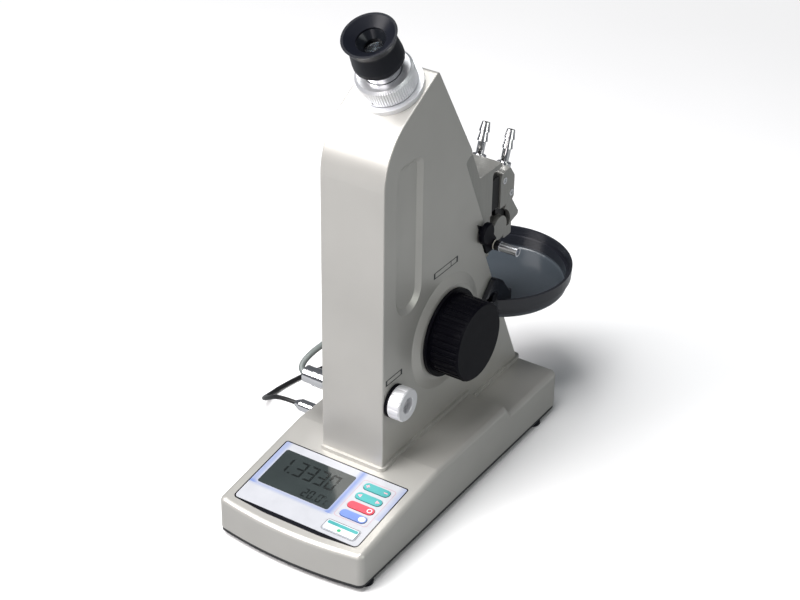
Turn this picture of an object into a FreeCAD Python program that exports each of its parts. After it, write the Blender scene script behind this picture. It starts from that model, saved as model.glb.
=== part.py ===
import FreeCAD, Part
import math
import os

os.makedirs("parts", exist_ok=True)

# Digital Abbe refractometer. Millimetres, +Z up. X runs to the instrument's right,
# Y runs rearwards from the base's front corners, and the rubber feet stand on Z 0.
# Lengths are named below with the piece that they belong to; names ending in share are ratios.

# Driving sizes of the whole instrument
baseWidth = 104.0
baseDepth = 229.0
deckHeight = 38.5
columnWidth = 44.0
topDegrees = 29.0
backDegrees = 65.3
topSlope = math.radians(topDegrees)
backSlope = math.radians(backDegrees)

# Fits and clearances
turnFit = 0.05
runFit = 0.3
flatGap = 0.3
keyGap = 0.35
overrun = 2.0
closeness = 0.01
slimGap = 0.1


def at(x, y, z):
    return FreeCAD.Vector(x, y, z)


def block(x0, x1, y0, y1, z0, z1):
    return Part.makeBox(x1 - x0, y1 - y0, z1 - z0, at(x0, y0, z0))


def rod(start, end, radius):
    along = end.sub(start)
    return Part.makeCylinder(radius, along.Length, start, along)


def crossRod(x0, x1, y, z, radius):
    return rod(at(x0, y, z), at(x1, y, z), radius)


def crossCone(x0, x1, y, z, radius0, radius1):
    return Part.makeCone(radius0, radius1, x1 - x0, at(x0, y, z), at(1, 0, 0))


def fused(*shapes):
    joined = shapes[0].fuse(list(shapes[1:])) if len(shapes) > 1 else shapes[0]
    return joined.removeSplitter()


# A closed outline of straight sides whose corners are rounded by tangent arcs.
# Each corner is two coordinates and a radius, and place turns the coordinates into a point.
def roundedWire(corners, place):
    count = len(corners)
    starts = []
    middles = []
    ends = []
    for i in range(count):
        corner = place(corners[i][0], corners[i][1])
        before = place(*corners[i - 1][:2]).sub(corner).normalize()
        after = place(*corners[(i + 1) % count][:2]).sub(corner).normalize()
        radius = corners[i][2]
        half = before.getAngle(after) / 2
        reach = radius / math.tan(half)
        inward = before.add(after).normalize() if radius > 0 else at(0, 0, 0)
        starts.append(corner.add(before * reach))
        middles.append(corner.add(inward * (radius / math.sin(half) - radius)))
        ends.append(corner.add(after * reach))
    edges = []
    for i in range(count):
        if corners[i][2] > 0:
            edges.append(Part.Arc(starts[i], middles[i], ends[i]).toShape())
        nextStart = starts[(i + 1) % count]
        if nextStart.sub(ends[i]).Length > closeness:
            edges.append(Part.LineSegment(ends[i], nextStart).toShape())
    return Part.Wire(edges)


def roundedFace(corners, place):
    return Part.Face(roundedWire(corners, place))


def plain(*points):
    return [(a, b, 0) for a, b in points]


def roundedRectangle(a0, a1, b0, b1, radius):
    return [(a0, b0, radius), (a1, b0, radius), (a1, b1, radius), (a0, b1, radius)]


# A side view outline in Y and Z, thick along X
def sideSlab(corners, x0, x1):
    face = roundedFace(corners, lambda y, z: at(x0, y, z))
    return face.extrude(at(x1 - x0, 0, 0))


# A plan outline in X and Y, thick along Z
def planSlab(corners, z0, z1):
    face = roundedFace(corners, lambda x, y: at(x, y, z0))
    return face.extrude(at(0, 0, z1 - z0))


# A turned piece: corners of radius and distance along the axis
def turned(corners, origin, direction):
    side = at(1, 0, 0) if abs(direction.x) < abs(direction.z) + abs(direction.y) else at(0, 0, 1)
    face = roundedFace(corners, lambda r, s: origin.add(side * r).add(direction * s))
    return face.revolve(origin, direction, 360)


# Base casting: hollow, open below, with a sloped front for the panel
frontBow = 5.0
baseCorner = 4.5
baseWall = 3.0
baseTopRound = 3.2
footHeight = 3.2
basePlateThickness = 2.3
frontDrop = 11.6
frontHeight = deckHeight - frontDrop
slopeEnd = 83.0
rampStart = 163.0
rampEnd = 169.0
platformDrop = 7.2
platformHeight = deckHeight - platformDrop

halfBase = baseWidth / 2
castingBottom = footHeight + basePlateThickness
panelSlope = math.atan((deckHeight - frontHeight) / slopeEnd)
bowRadius = (halfBase ** 2 + frontBow ** 2) / (2 * frontBow)

trayCentre = 233.8
trayRadius = 49.2
middleY = (trayCentre + trayRadius - frontBow) / 2


def save(name, *solids):
    whole = Part.makeCompound(list(solids)) if len(solids) > 1 else solids[0]
    placed = whole.copy()
    placed.translate(at(0, -middleY, 0))
    placed.exportStep("parts/" + name + ".step")
    state = "ok" if whole.isValid() else "INVALID"
    print(name, "solids", len(whole.Solids), "volume", round(whole.Volume, 1), state)


def basePlan(inset, z0, z1):
    bow = rod(at(0, bowRadius - frontBow, z0), at(0, bowRadius - frontBow, z1), bowRadius - inset)
    sheet = block(inset - halfBase, halfBase - inset, -frontBow - overrun, baseDepth - inset, z0, z1)
    body = sheet.common(bow)
    uprights = [e for e in body.Edges if abs(e.Vertexes[0].X - e.Vertexes[-1].X) < closeness
                and abs(e.Vertexes[0].Y - e.Vertexes[-1].Y) < closeness]
    return body.makeFillet(baseCorner - inset, uprights)


def baseSide(drop, z0):
    ahead = -frontBow - overrun
    behind = baseDepth + overrun
    fall = math.tan(panelSlope)
    nudge = drop * math.tan(panelSlope / 2)
    rampDrop = drop * math.tan(math.atan2(deckHeight - platformHeight, rampEnd - rampStart) / 2)
    tops = [(ahead, frontHeight + ahead * fall - drop / math.cos(panelSlope)),
            (slopeEnd + nudge, deckHeight - drop), (rampStart - rampDrop, deckHeight - drop),
            (rampEnd - rampDrop, platformHeight - drop), (behind, platformHeight - drop)]
    return sideSlab(plain((ahead, z0), *tops, (behind, z0)), -halfBase - overrun, halfBase + overrun)


def deckTop(y):
    if y < slopeEnd:
        return frontHeight + y * math.tan(panelSlope)
    if y < rampStart:
        return deckHeight
    ramp = (y - rampStart) / (rampEnd - rampStart)
    return deckHeight - (deckHeight - platformHeight) * min(ramp, 1)


def baseShell():
    outer = basePlan(0, castingBottom, deckHeight + overrun).common(baseSide(0, castingBottom))
    rims = []
    for edge in outer.Edges:
        middle = edge.valueAt((edge.FirstParameter + edge.LastParameter) / 2)
        level = abs(middle.z - deckTop(middle.y)) < closeness
        crossing = abs(middle.x) < closeness and closeness < middle.y < baseDepth - closeness
        if level and not crossing:
            rims.append(edge)
    outer = outer.makeFillet(baseTopRound, rims)
    inner = basePlan(baseWall, castingBottom - overrun, deckHeight).common(
        baseSide(baseWall, castingBottom - overrun))
    return outer.cut(inner)


# Panel, display and keys, laid out on the sloped front.
# U runs along X, V up the slope from the base's front, W out of the slope.
panelHalfWidth = 44.3
panelFront = 5.7
panelBack = 60.5
panelCorner = 2.5
panelBackCorner = 1.0
panelThickness = 1.0
bezelLine = 0.8
bezelCrescent = 2.4
crescentRoundShare = 0.25
bezelThickness = 2.4
bezelLip = 2.6
panelSeat = 0.1


def panelPoint(u, v, w):
    along = at(0, math.cos(panelSlope), math.sin(panelSlope))
    out = at(0, -math.sin(panelSlope), math.cos(panelSlope))
    return at(u, 0, frontHeight).add(along * v).add(out * w)


panelOut = at(0, -math.sin(panelSlope), math.cos(panelSlope))


def panelSlab(corners, w0, w1):
    face = roundedFace(corners, lambda u, v: panelPoint(u, v, w0))
    return face.extrude(panelOut * (w1 - w0))


def bezelOutline(grow):
    half = panelHalfWidth + bezelLine + grow
    front = panelFront - bezelLine - grow
    back = panelBack + bezelLine + grow
    corner = panelCorner + bezelLine
    backCorner = panelBackCorner + bezelLine
    crescentShare = 0.45
    crescentRound = bowRadius * crescentRoundShare
    return [(-half, front, corner), (-half * crescentShare, front - bezelCrescent, crescentRound),
            (half * crescentShare, front - bezelCrescent, crescentRound), (half, front, corner),
            (half, back, backCorner), (-half, back, backCorner)]


def panelOutline(grow):
    half = panelHalfWidth + grow
    corner = max(panelCorner + grow, 0)
    backCorner = max(panelBackCorner + grow, 0)
    return [(-half, panelFront - grow, corner), (half, panelFront - grow, corner),
            (half, panelBack + grow, backCorner), (-half, panelBack + grow, backCorner)]


displayLeft = -40.0
displayRight = 11.8
displayFront = 22.8
displayBack = 54.6
displayCorner = 1.5
keyLeft = 19.5
keyRight = 37.6
keyDepth = 5.6
keyProud = 0.5
keyTravel = 0.4
keyCollar = 0.8
keyStem = 1.3
keyRest = 0.05
startLeft = 17.4
startRight = 39.5
startFront = 9.3
startBack = 16.7
startCorner = 1.0
boardDepth = 8.0
boardThickness = 1.6
switchSize = 4.5
switchHeight = 1.6
boardMargin = 2.0

keyPlaces = {"plus_minus_key": 51.1, "left_right_key": 42.2, "select_key": 33.9, "mode_key": 25.8}


def keyOutline(name, grow):
    if name == "start_key":
        return roundedRectangle(startLeft - grow, startRight + grow, startFront - grow,
                                startBack + grow, startCorner + grow)
    middle = keyPlaces[name]
    half = keyDepth / 2 + grow
    return roundedRectangle(keyLeft - grow, keyRight + grow, middle - half, middle + half,
                            half - closeness)


def keyCentre(name):
    if name == "start_key":
        return (startLeft + startRight) / 2, (startFront + startBack) / 2
    return (keyLeft + keyRight) / 2, keyPlaces[name]


keyNames = list(keyPlaces) + ["start_key"]
displayOutline = roundedRectangle(displayLeft, displayRight, displayFront, displayBack, displayCorner)

bezel = panelSlab(bezelOutline(0), -bezelThickness, 0)
bezel = bezel.cut(panelSlab(panelOutline(panelSeat), -panelThickness, overrun))
bezel = bezel.cut(panelSlab(panelOutline(-bezelLip), -bezelThickness - overrun, overrun))
save("display_bezel", bezel)

panel = panelSlab(panelOutline(0), -panelThickness, 0)
panel = panel.cut(panelSlab(displayOutline, -overrun, overrun))
for name in keyNames:
    panel = panel.cut(panelSlab(keyOutline(name, keyGap), -overrun, overrun))
save("keypad_panel", panel)

window = panelSlab(displayOutline, -panelThickness, 0)
save("lcd_window", window)

moduleThickness = 4.0
moduleMargin = 1.2
moduleOutline = roundedRectangle(displayLeft - moduleMargin, displayRight + moduleMargin,
                                 displayFront - moduleMargin, displayBack + moduleMargin, displayCorner)
module = panelSlab(moduleOutline, -panelThickness - moduleThickness, -panelThickness)
legOutset = 2 * moduleMargin
for u in (displayLeft + legOutset, displayRight - legOutset):
    for v in (displayFront + legOutset, displayBack - legOutset):
        leg = rod(panelPoint(u, v, -boardDepth), panelPoint(u, v, -panelThickness - moduleThickness),
                  moduleMargin)
        module = module.fuse(leg)
save("lcd_module", module)

boardFront = startFront
boardOutline = roundedRectangle(displayLeft, startRight, boardFront, displayBack + boardMargin, boardMargin)
board = panelSlab(boardOutline, -boardDepth - boardThickness, -boardDepth)
for name in keyNames:
    u, v = keyCentre(name)
    half = switchSize / 2
    switch = panelSlab(roundedRectangle(u - half, u + half, v - half, v + half, 0),
                       -boardDepth, switchHeight - boardDepth)
    board = board.fuse(switch)
# Posts under the board stand on the base plate
postRadius = 2.2
save("display_board", board)

for name in keyNames:
    u, v = keyCentre(name)
    head = panelSlab(keyOutline(name, 0), -panelThickness, keyProud)
    collarTop = -panelThickness - panelSeat
    collar = panelSlab(keyOutline(name, keyCollar), collarTop - keyCollar, collarTop)
    link = panelSlab(keyOutline(name, 0), collarTop, -panelThickness)
    stem = rod(panelPoint(u, v, switchHeight - boardDepth + keyTravel + keyRest),
               panelPoint(u, v, collarTop), keyStem)
    save(name, fused(head, link, collar, stem))

# Base casting, finished with its panel pocket, foot bosses and openings
footInset = 5.5
footX = halfBase - footInset
footFront = 11.0
footRearInset = 22.0
footRear = baseDepth - footRearInset
footRadius = 5.5
footSpigot = 2.5
footBoss = 5.0
bossTop = 16.0
spigotTop = 12.0
cableHoleFront = 100.0
cableHoleBack = 140.0
cableHoleHalf = 9.0
columnScrewX = 13.5
columnScrewFront = 76.0
columnScrewRearInset = 33.0
columnScrewRear = baseDepth - columnScrewRearInset
screwRadius = 2.0
screwHead = 3.6
screwHeadHeight = 3.0
screwLength = 12.0
leadSocketY = 109.0
leadSocketZ = 25.0
leadSocketRadius = 6.0
leadSocketNeck = 5.0

feet = [(side * footX, y) for side in (-1, 1) for y in (footFront, footRear)]
casting = baseShell()
for x, y in feet:
    boss = rod(at(x, y, castingBottom), at(x, y, bossTop), footBoss)
    casting = casting.fuse(boss)
    casting = casting.cut(rod(at(x, y, castingBottom - overrun), at(x, y, spigotTop + flatGap), footSpigot))
casting = casting.cut(panelSlab(bezelOutline(0), -bezelThickness, overrun))
casting = casting.cut(panelSlab(panelOutline(-bezelLip), -bezelThickness - 2 * baseWall, overrun))
casting = casting.cut(block(-cableHoleHalf, cableHoleHalf, cableHoleFront, cableHoleBack,
                            deckHeight - 2 * baseWall, deckHeight + overrun))
columnScrews = [(side * columnScrewX, y) for side in (-1, 1) for y in (columnScrewFront, columnScrewRear)]
for x, y in columnScrews:
    casting = casting.cut(rod(at(x, y, deckTop(y) - 2 * baseWall), at(x, y, deckTop(y) + overrun),
                              screwRadius + turnFit))
casting = casting.cut(crossRod(-halfBase - overrun, baseWall * 2 - halfBase, leadSocketY, leadSocketZ,
                               leadSocketNeck))
save("base_casting", casting)

plate = basePlan(flatGap, footHeight, castingBottom)
mainBoardFront = 78.0
mainBoardRearInset = 39.0
mainBoardSideInset = 18.0
mainBoardRear = baseDepth - mainBoardRearInset
mainBoardHalf = halfBase - mainBoardSideInset
mainBoardBottom = 12.0
mainBoardPost = 3.0
mainBoardMargin = 6.0
for x, y in feet:
    plate = plate.cut(rod(at(x, y, footHeight - overrun), at(x, y, castingBottom + overrun), footSpigot))
boardPosts = [(side * (mainBoardHalf - mainBoardMargin), y) for side in (-1, 1)
              for y in (mainBoardFront + mainBoardMargin, mainBoardRear - mainBoardMargin)]
for x, y in boardPosts:
    plate = plate.fuse(rod(at(x, y, castingBottom), at(x, y, mainBoardBottom), mainBoardPost))
# Two posts hold the display board from below
for u in (displayLeft + boardMargin * 2, displayRight - boardMargin * 2):
    seat = panelPoint(u, displayBack - boardMargin * 2, -boardDepth - boardThickness)
    post = rod(at(seat.x, seat.y, castingBottom), at(seat.x, seat.y, deckHeight), postRadius)
    below = panelSlab(boardOutline, -deckHeight, -boardDepth - boardThickness)
    plate = plate.fuse(post.common(below))
save("base_plate", plate.removeSplitter())

footPieces = [fused(rod(at(x, y, 0), at(x, y, footHeight), footRadius),
                    rod(at(x, y, footHeight), at(x, y, spigotTop), footSpigot)) for x, y in feet]
save("rubber_feet", *footPieces)

mainBoard = block(-mainBoardHalf, mainBoardHalf, mainBoardFront, mainBoardRear, mainBoardBottom,
                  mainBoardBottom + boardThickness)
chipTop = mainBoardBottom + boardThickness + 2 * switchHeight
chipShares = [(-0.7, 0.1, 0.35, 0.16), (0.05, 0.2, 0.5, 0.12), (-0.55, 0.45, 0.3, 0.2), (0.1, 0.6, 0.45, 0.1)]
boardLength = mainBoardRear - mainBoardFront
for leftShare, frontShare, widthShare, depthShare in chipShares:
    left = leftShare * mainBoardHalf
    front = mainBoardFront + frontShare * boardLength
    rear = front + depthShare * boardLength
    mainBoard = mainBoard.fuse(block(left, left + widthShare * mainBoardHalf, front, rear,
                                     mainBoardBottom + boardThickness, chipTop))
save("main_board", mainBoard)

screws = []
for x, y in columnScrews:
    under = min(deckTop(y), deckTop(y - 2 * screwHead)) - baseWall
    screws.append(fused(rod(at(x, y, under - screwHeadHeight), at(x, y, under), screwHead),
                        rod(at(x, y, under), at(x, y, under + screwLength), screwRadius)))
save("housing_screws", *screws)
# Column housing: a hollow casting seen in side view, with the prism seat on its back
columnFront = 66.0
frontArc = 41.0
apexY = 120.8
apexZ = 280.3
apexRound = 2.4
shoulderY = 161.5
shoulderZ = 212.0
stepRound = 2.2
columnFootBack = 226.8
seatOut = 7.3
seatTop = 207.8
seatBottom = 157.5
columnWall = 3.5
columnEdge = 0.8
plinthOut = 1.8
plinthHeight = 2.6
plinthCorner = 3.6
halfColumn = columnWidth / 2
innerHalf = halfColumn - columnWall


def rearLine(z, out):
    return columnFootBack - (z - platformHeight) / math.tan(backSlope) + out / math.sin(backSlope)


def columnSide(bottom):
    frontTop = apexZ - (apexY - columnFront) * math.tan(topSlope)
    stepZ = seatBottom - seatOut * math.cos(backSlope)
    upper = [(columnFront, frontTop, frontArc), (apexY, apexZ, apexRound),
             (shoulderY, shoulderZ, stepRound), (rearLine(seatTop, seatOut), seatTop, stepRound),
             (rearLine(seatBottom, seatOut), seatBottom, stepRound), (rearLine(stepZ, 0), stepZ, stepRound)]
    return upper + bottom


# Moves every side of an outline inwards by a wall
def inset(corners, wall):
    count = len(corners)
    moved = []
    for i in range(count):
        here = at(corners[i][0], corners[i][1], 0)
        before = here.sub(at(*corners[i - 1][:2], 0)).normalize()
        after = at(*corners[(i + 1) % count][:2], 0).sub(here).normalize()
        sideBefore = at(before.y, -before.x, 0)
        sideAfter = at(after.y, -after.x, 0)
        shift = sideBefore.add(sideAfter) * (wall / (1 + sideBefore.dot(sideAfter)))
        turn = before.x * after.y - before.y * after.x
        radius = max(corners[i][2] - wall, 0) if turn < 0 else corners[i][2]
        moved.append((here.x + shift.x, here.y + shift.y, radius))
    return moved


footProfile = [(columnFootBack, platformHeight, 0), (rampEnd, platformHeight, 0), (rampStart, deckHeight, 0),
               (slopeEnd, deckHeight, 0), (columnFront, deckTop(columnFront), 0)]
deepBottom = -deckHeight
deepProfile = [(rearLine(deepBottom, 0), deepBottom, 0), (columnFront, deepBottom, 0)]

columnBody = sideSlab(columnSide(footProfile), -halfColumn, halfColumn)
sideEdges = []
for edge in columnBody.Edges:
    middle = edge.valueAt((edge.FirstParameter + edge.LastParameter) / 2)
    onSide = abs(edge.Vertexes[0].X - edge.Vertexes[-1].X) < closeness
    aboveFoot = max(v.Z for v in edge.Vertexes) > deckHeight + closeness
    if onSide and abs(abs(middle.x) - halfColumn) < closeness and aboveFoot:
        sideEdges.append(edge)
columnBody = columnBody.makeFillet(columnEdge, sideEdges)
cavity = sideSlab(inset(columnSide(deepProfile), columnWall), -innerHalf, innerHalf)

plinthFront = columnFront - plinthOut
plinthBack = columnFootBack + plinthOut
plinthBand = plain((plinthFront, deckTop(plinthFront)), (slopeEnd, deckHeight), (rampStart, deckHeight),
                   (rampEnd, platformHeight), (plinthBack, platformHeight),
                   (plinthBack, platformHeight + plinthHeight), (rampEnd, platformHeight + plinthHeight),
                   (rampStart, deckHeight + plinthHeight), (slopeEnd, deckHeight + plinthHeight),
                   (plinthFront, deckTop(plinthFront) + plinthHeight))
plinthPlan = roundedRectangle(-halfColumn - plinthOut, halfColumn + plinthOut, plinthFront, plinthBack,
                              plinthCorner)
plinth = planSlab(plinthPlan, 0, shoulderZ).common(sideSlab(plinthBand, -halfBase, halfBase))

# Eyepiece axis, square to the column's top face
flangeY = 104.2
flangeZ = apexZ - (apexY - flangeY) * math.tan(topSlope)
axisUp = at(0, -math.sin(topSlope), math.cos(topSlope))


def onAxis(distance):
    return at(0, flangeY, flangeZ).add(axisUp * distance)


# Shafts in the side walls
measureY = 134.5
measureZ = 101.0
measureShaft = 3.0
measureBush = 6.0
compensatorY = 77.5
compensatorZ = 81.7
compensatorShaft = 3.0
compensatorBush = 5.0
mirrorDistance = 107.5
mirrorShaft = 2.0
pinionDistance = 62.0
pinionShaft = 1.5
mirrorPoint = onAxis(-mirrorDistance)
pinionPoint = onAxis(-pinionDistance)

# Conical rise round the measuring knob, and the finger recess beside it
riseOuter = 38.5
riseInner = 31.0
riseOut = 2.0
recessFront = 80.0
recessBack = 105.0
recessBottom = 136.0
recessTop = 234.0
recessDepth = 2.3
recessCorner = 6.0
recessSlope = 2.4
eyeHole = 15.0
lightPort = 7.0
prismFaceY = 199.0
prismBottom = 155.5
prismTop = 180.0
sensorY = 89.0
sensorZ = 67.5
sensorSocket = 7.0
sensorNeck = 5.0
wallBoss = 4.5
wallBossDepth = 3.3
coverBottom = 48.0
coverTop = 122.0
coverHalf = 15.0
coverThickness = 1.8
coverRebate = 2.4
coverCorner = 3.0
pegY = 186.0
pegZ = 100.0
pegRadius = 2.0


def recessOutline(grow):
    bottomRound = (recessBack - recessFront) / 2 + grow - closeness
    return [(recessFront - grow, recessBottom - grow, bottomRound),
            (recessBack + grow, recessBottom - grow, bottomRound),
            (recessBack + grow, recessTop + grow, recessCorner + grow),
            (recessFront - grow, recessTop + grow, recessCorner + grow)]


def sideWire(corners, x):
    return roundedWire(corners, lambda y, z: at(x, y, z))


# A plate or hole laid on the column's sloping back: X across, H up the slope, D outwards
backUp = at(0, -math.cos(backSlope), math.sin(backSlope))
backOut = at(0, math.sin(backSlope), math.cos(backSlope))


def backSlab(half, h0, h1, d0, d1, corner):
    def place(x, h):
        return at(x, columnFootBack, platformHeight).add(backUp * h).add(backOut * d0)
    face = roundedFace(roundedRectangle(-half, half, h0, h1, corner), place)
    return face.extrude(backOut * (d1 - d0))


coverH0 = (coverBottom - platformHeight) / math.sin(backSlope)
coverH1 = (coverTop - platformHeight) / math.sin(backSlope)
prismCentre = at(0, prismFaceY, (prismBottom + prismTop) / 2)

housing = columnBody.cut(cavity).fuse(plinth.cut(cavity))
housing = housing.fuse(crossCone(halfColumn - columnEdge, halfColumn + riseOut, measureY, measureZ,
                                 riseOuter + riseOut, riseInner))
screwBoss = screwHead + screwRadius
for x, y in columnScrews:
    foot = at(x, y, max(deckTop(y), deckTop(y + screwBoss)))
    housing = housing.fuse(rod(foot, foot.add(at(0, 0, screwLength)), screwBoss))
for x, y in columnScrews:
    housing = housing.cut(rod(at(x, y, deckTop(y) - overrun), at(x, y, deckTop(y) + screwLength - baseWall),
                              screwRadius))
housing = housing.fuse(crossRod(innerHalf - wallBossDepth, innerHalf, mirrorPoint.y, mirrorPoint.z, wallBoss))
recess = Part.makeLoft([sideWire(recessOutline(recessSlope * 2), halfColumn + recessDepth),
                        sideWire(recessOutline(-recessSlope), halfColumn - recessDepth)], True, True)
bores = [crossRod(0, halfColumn + overrun + riseOut, measureY, measureZ, measureBush),
         crossRod(0, halfColumn + overrun, compensatorY, compensatorZ, compensatorBush),
         crossRod(-halfColumn - overrun, 0, sensorY, sensorZ, sensorNeck),
         crossRod(0, innerHalf + overrun, mirrorPoint.y, mirrorPoint.z, mirrorShaft + turnFit),
         crossRod(0, innerHalf + overrun, pinionPoint.y, pinionPoint.z, pinionShaft + turnFit),
         rod(onAxis(-frontArc / 2), onAxis(overrun), eyeHole),
         rod(mirrorPoint, prismCentre, lightPort),
         backSlab(coverHalf, coverH0, coverH1, -columnWall * 2, overrun, coverCorner),
         backSlab(coverHalf + coverRebate, coverH0 - coverRebate, coverH1 + coverRebate, -coverThickness,
                  overrun, coverCorner)]
for side in (-1, 1):
    inner = side * (halfColumn - columnWall + flatGap)
    outer = side * (halfColumn + overrun)
    bores.append(crossRod(min(inner, outer), max(inner, outer), pegY, pegZ, pegRadius))
for tool in [recess] + bores:
    housing = housing.cut(tool)
save("column_housing", housing)

coverOverlap = coverRebate - slimGap
save("rear_cover", backSlab(coverHalf + coverOverlap, coverH0 - coverOverlap, coverH1 + coverOverlap,
                            -coverThickness, 0, coverCorner))

# Eyepiece: flange, dioptre ring, sliding barrel with its rubber cup, lenses
flangeRadius = 20.4
flangeThickness = 3.0
flangeNeck = 12.5
flangeNeckTop = 8.0
barrelRadius = 10.8
barrelBore = 8.5
barrelTop = 40.0
barrelStart = -0.5
ringRadius = 17.4
ringStart = 3.3
ringEdge = 13.5
ringBevel = 1.8
cupBottom = 20.0
cupTop = 44.9
cupBelly = 15.1
cupBellyStart = 24.5
cupBellyEnd = 27.5
cupWaist = 13.9
cupWaistAt = 39.0
cupRound = 3.825
cupRim = 16.3
cupLip = 1.5
cupCover = 8.8
cupCoverThickness = 1.0
cupFoot = 0.8
eyeLensStart = 30.0
eyeLensThickness = 4.0
eyeOpening = 5.4
eyeLip = 1.8
fieldLensStart = 8.0
fieldLensThickness = 3.0
exitRing = 8.5
flangeOrigin = onAxis(0)
spigotDepth = columnWall

flangeProfile = plain((barrelRadius + turnFit, -spigotDepth), (eyeHole, -spigotDepth), (eyeHole, 0),
                      (flangeRadius, 0), (flangeRadius, flangeThickness), (flangeNeck, flangeThickness),
                      (flangeNeck, flangeNeckTop), (barrelRadius + turnFit, flangeNeckTop))
save("eyepiece_flange", turned(flangeProfile, flangeOrigin, axisUp))

ringTop = ringEdge + ringBevel
ringNeckEnd = flangeNeckTop + flatGap
ringProfile = plain((flangeNeck + turnFit, ringStart), (ringRadius, ringStart), (ringRadius, ringEdge),
                    (ringRadius - ringBevel, ringTop), (barrelRadius + runFit, ringTop),
                    (barrelRadius + runFit, ringNeckEnd), (flangeNeck + turnFit, ringNeckEnd))
save("diopter_ring", turned(ringProfile, flangeOrigin, axisUp))

lipStart = eyeLensStart + eyeLensThickness
barrelProfile = plain((barrelBore, barrelStart), (barrelRadius, barrelStart), (barrelRadius, barrelTop),
                      (exitRing, barrelTop), (eyeOpening, lipStart + eyeLip), (eyeOpening, lipStart),
                      (barrelBore, lipStart))
save("eyepiece_barrel", turned(barrelProfile, flangeOrigin, axisUp))

cupProfile = [(barrelRadius, cupBottom, 0), (barrelRadius + cupFoot, cupBottom, 0),
              (cupBelly, cupBellyStart, cupFoot), (cupBelly, cupBellyEnd, cupFoot),
              (cupWaist, cupWaistAt, cupRound), (cupRim, cupTop, 0), (cupRim - cupLip, cupTop, 0),
              (cupCover, barrelTop + cupCoverThickness, 0), (cupCover, barrelTop, 0),
              (barrelRadius, barrelTop, 0)]
save("eyecup", turned(cupProfile, flangeOrigin, axisUp))

save("eyepiece_lenses", rod(onAxis(eyeLensStart), onAxis(lipStart), barrelBore),
     rod(onAxis(fieldLensStart), onAxis(fieldLensStart + fieldLensThickness), barrelBore))

# Compensator: two geared cells turned in opposite senses by one pinion
gearPitch = 4.0
gearTeeth = 12
gearRoot = 3.4
gearTip = 4.35
gearGap = 0.25
toothShare = 0.38
toothTaperShare = 0.55
crownRadius = 12.0
crownHalfFace = 1.4
crownTeeth = round(gearTeeth * crownRadius / gearPitch)
cellRadius = 14.0
cellBore = 8.0
cellLength = 6.8
prismHalf = 5.0
sleeveRadius = 15.4
sleeveTopThickness = 3.0
pinionHalf = 1.0
pulleyGroove = 5.0
pulleyRim = 6.5
pulleyCheek = 0.25
beltInset = 0.15
beltWidth = 1.4
beltThickness = 1.2
pulleyWidth = beltWidth + 2 * (pulleyCheek + beltInset)
toothPitch = 2 * math.pi * gearPitch / gearTeeth
pulleyStart = sleeveRadius + flatGap


# A spur pinion on an X axis with one tooth pointing along the given angle
def pinionTeeth(x0, x1, y, z, first):
    body = crossRod(x0, x1, y, z, gearRoot)
    foot = toothPitch * toothShare / 2
    crest = foot * toothTaperShare
    for k in range(gearTeeth):
        turn = first + 2 * math.pi * k / gearTeeth
        out = at(0, math.cos(turn), math.sin(turn))
        across = at(0, -math.sin(turn), math.cos(turn))
        start = at(x0, y, z)

        def place(r, t):
            return start.add(out * r).add(across * t)
        tooth = roundedFace(plain((0, -foot), (gearRoot, -foot), (gearTip, -crest), (gearTip, crest),
                                  (gearRoot, foot), (0, foot)), place)
        body = body.fuse(tooth.extrude(at(x1 - x0, 0, 0)))
    return body


# A crown ring of teeth on the face of a cell; sense is +1 for teeth pointing down the axis
def compensatorCell(sense):
    faceAt = pinionDistance - sense * (gearTip + gearGap)
    farAt = faceAt - sense * cellLength
    toothTop = pinionDistance - sense * (gearRoot + gearGap)
    body = rod(onAxis(-farAt), onAxis(-faceAt), cellRadius)
    foot = toothPitch * toothShare / 2
    crest = foot * toothTaperShare
    for k in range(crownTeeth):
        turn = 2 * math.pi * (k + 0.5) / crownTeeth
        sideways = axisUp.cross(at(1, 0, 0))
        out = at(1, 0, 0) * math.cos(turn) + sideways * math.sin(turn)
        across = axisUp.cross(out)
        start = onAxis(-faceAt).add(out * (crownRadius - crownHalfFace))
        rise = axisUp * (faceAt - toothTop)
        corners = [start.add(across * -foot), start.add(across * foot),
                   start.add(across * crest).add(rise), start.add(across * -crest).add(rise)]
        tooth = Part.Face(Part.makePolygon(corners + corners[:1])).extrude(out * (2 * crownHalfFace))
        body = body.fuse(tooth)
    return body.cut(rod(onAxis(-farAt - sense * -overrun), onAxis(-toothTop - sense * overrun), cellBore))


def squarePrism(sense):
    nearAt = pinionDistance - sense * (gearTip + gearGap)
    farAt = nearAt - sense * cellLength
    sideways = axisUp.cross(at(1, 0, 0))

    def place(a, b):
        return onAxis(-farAt).add(at(1, 0, 0) * a).add(sideways * b)
    square = roundedFace(roundedRectangle(-prismHalf, prismHalf, -prismHalf, prismHalf, 0), place)
    return square.extrude(onAxis(-nearAt).sub(onAxis(-farAt)))


for name, prismName, sense in (("upper_compensator_cell", "upper_amici_prism", 1),
                               ("lower_compensator_cell", "lower_amici_prism", -1)):
    prism = squarePrism(sense)
    far = pinionDistance - sense * (gearTip + gearGap + cellLength)
    near = pinionDistance - sense * (gearTip + gearGap)
    holder = rod(onAxis(-far), onAxis(-near), cellBore).cut(prism)
    save(name, fused(compensatorCell(sense), holder))
    save(prismName, prism)


def pulley(y, z):
    grooved = crossRod(pulleyStart, pulleyStart + pulleyWidth, y, z, pulleyGroove)
    for x in (pulleyStart, pulleyStart + pulleyWidth - pulleyCheek):
        grooved = grooved.fuse(crossRod(x, x + pulleyCheek, y, z, pulleyRim))
    return grooved


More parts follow.
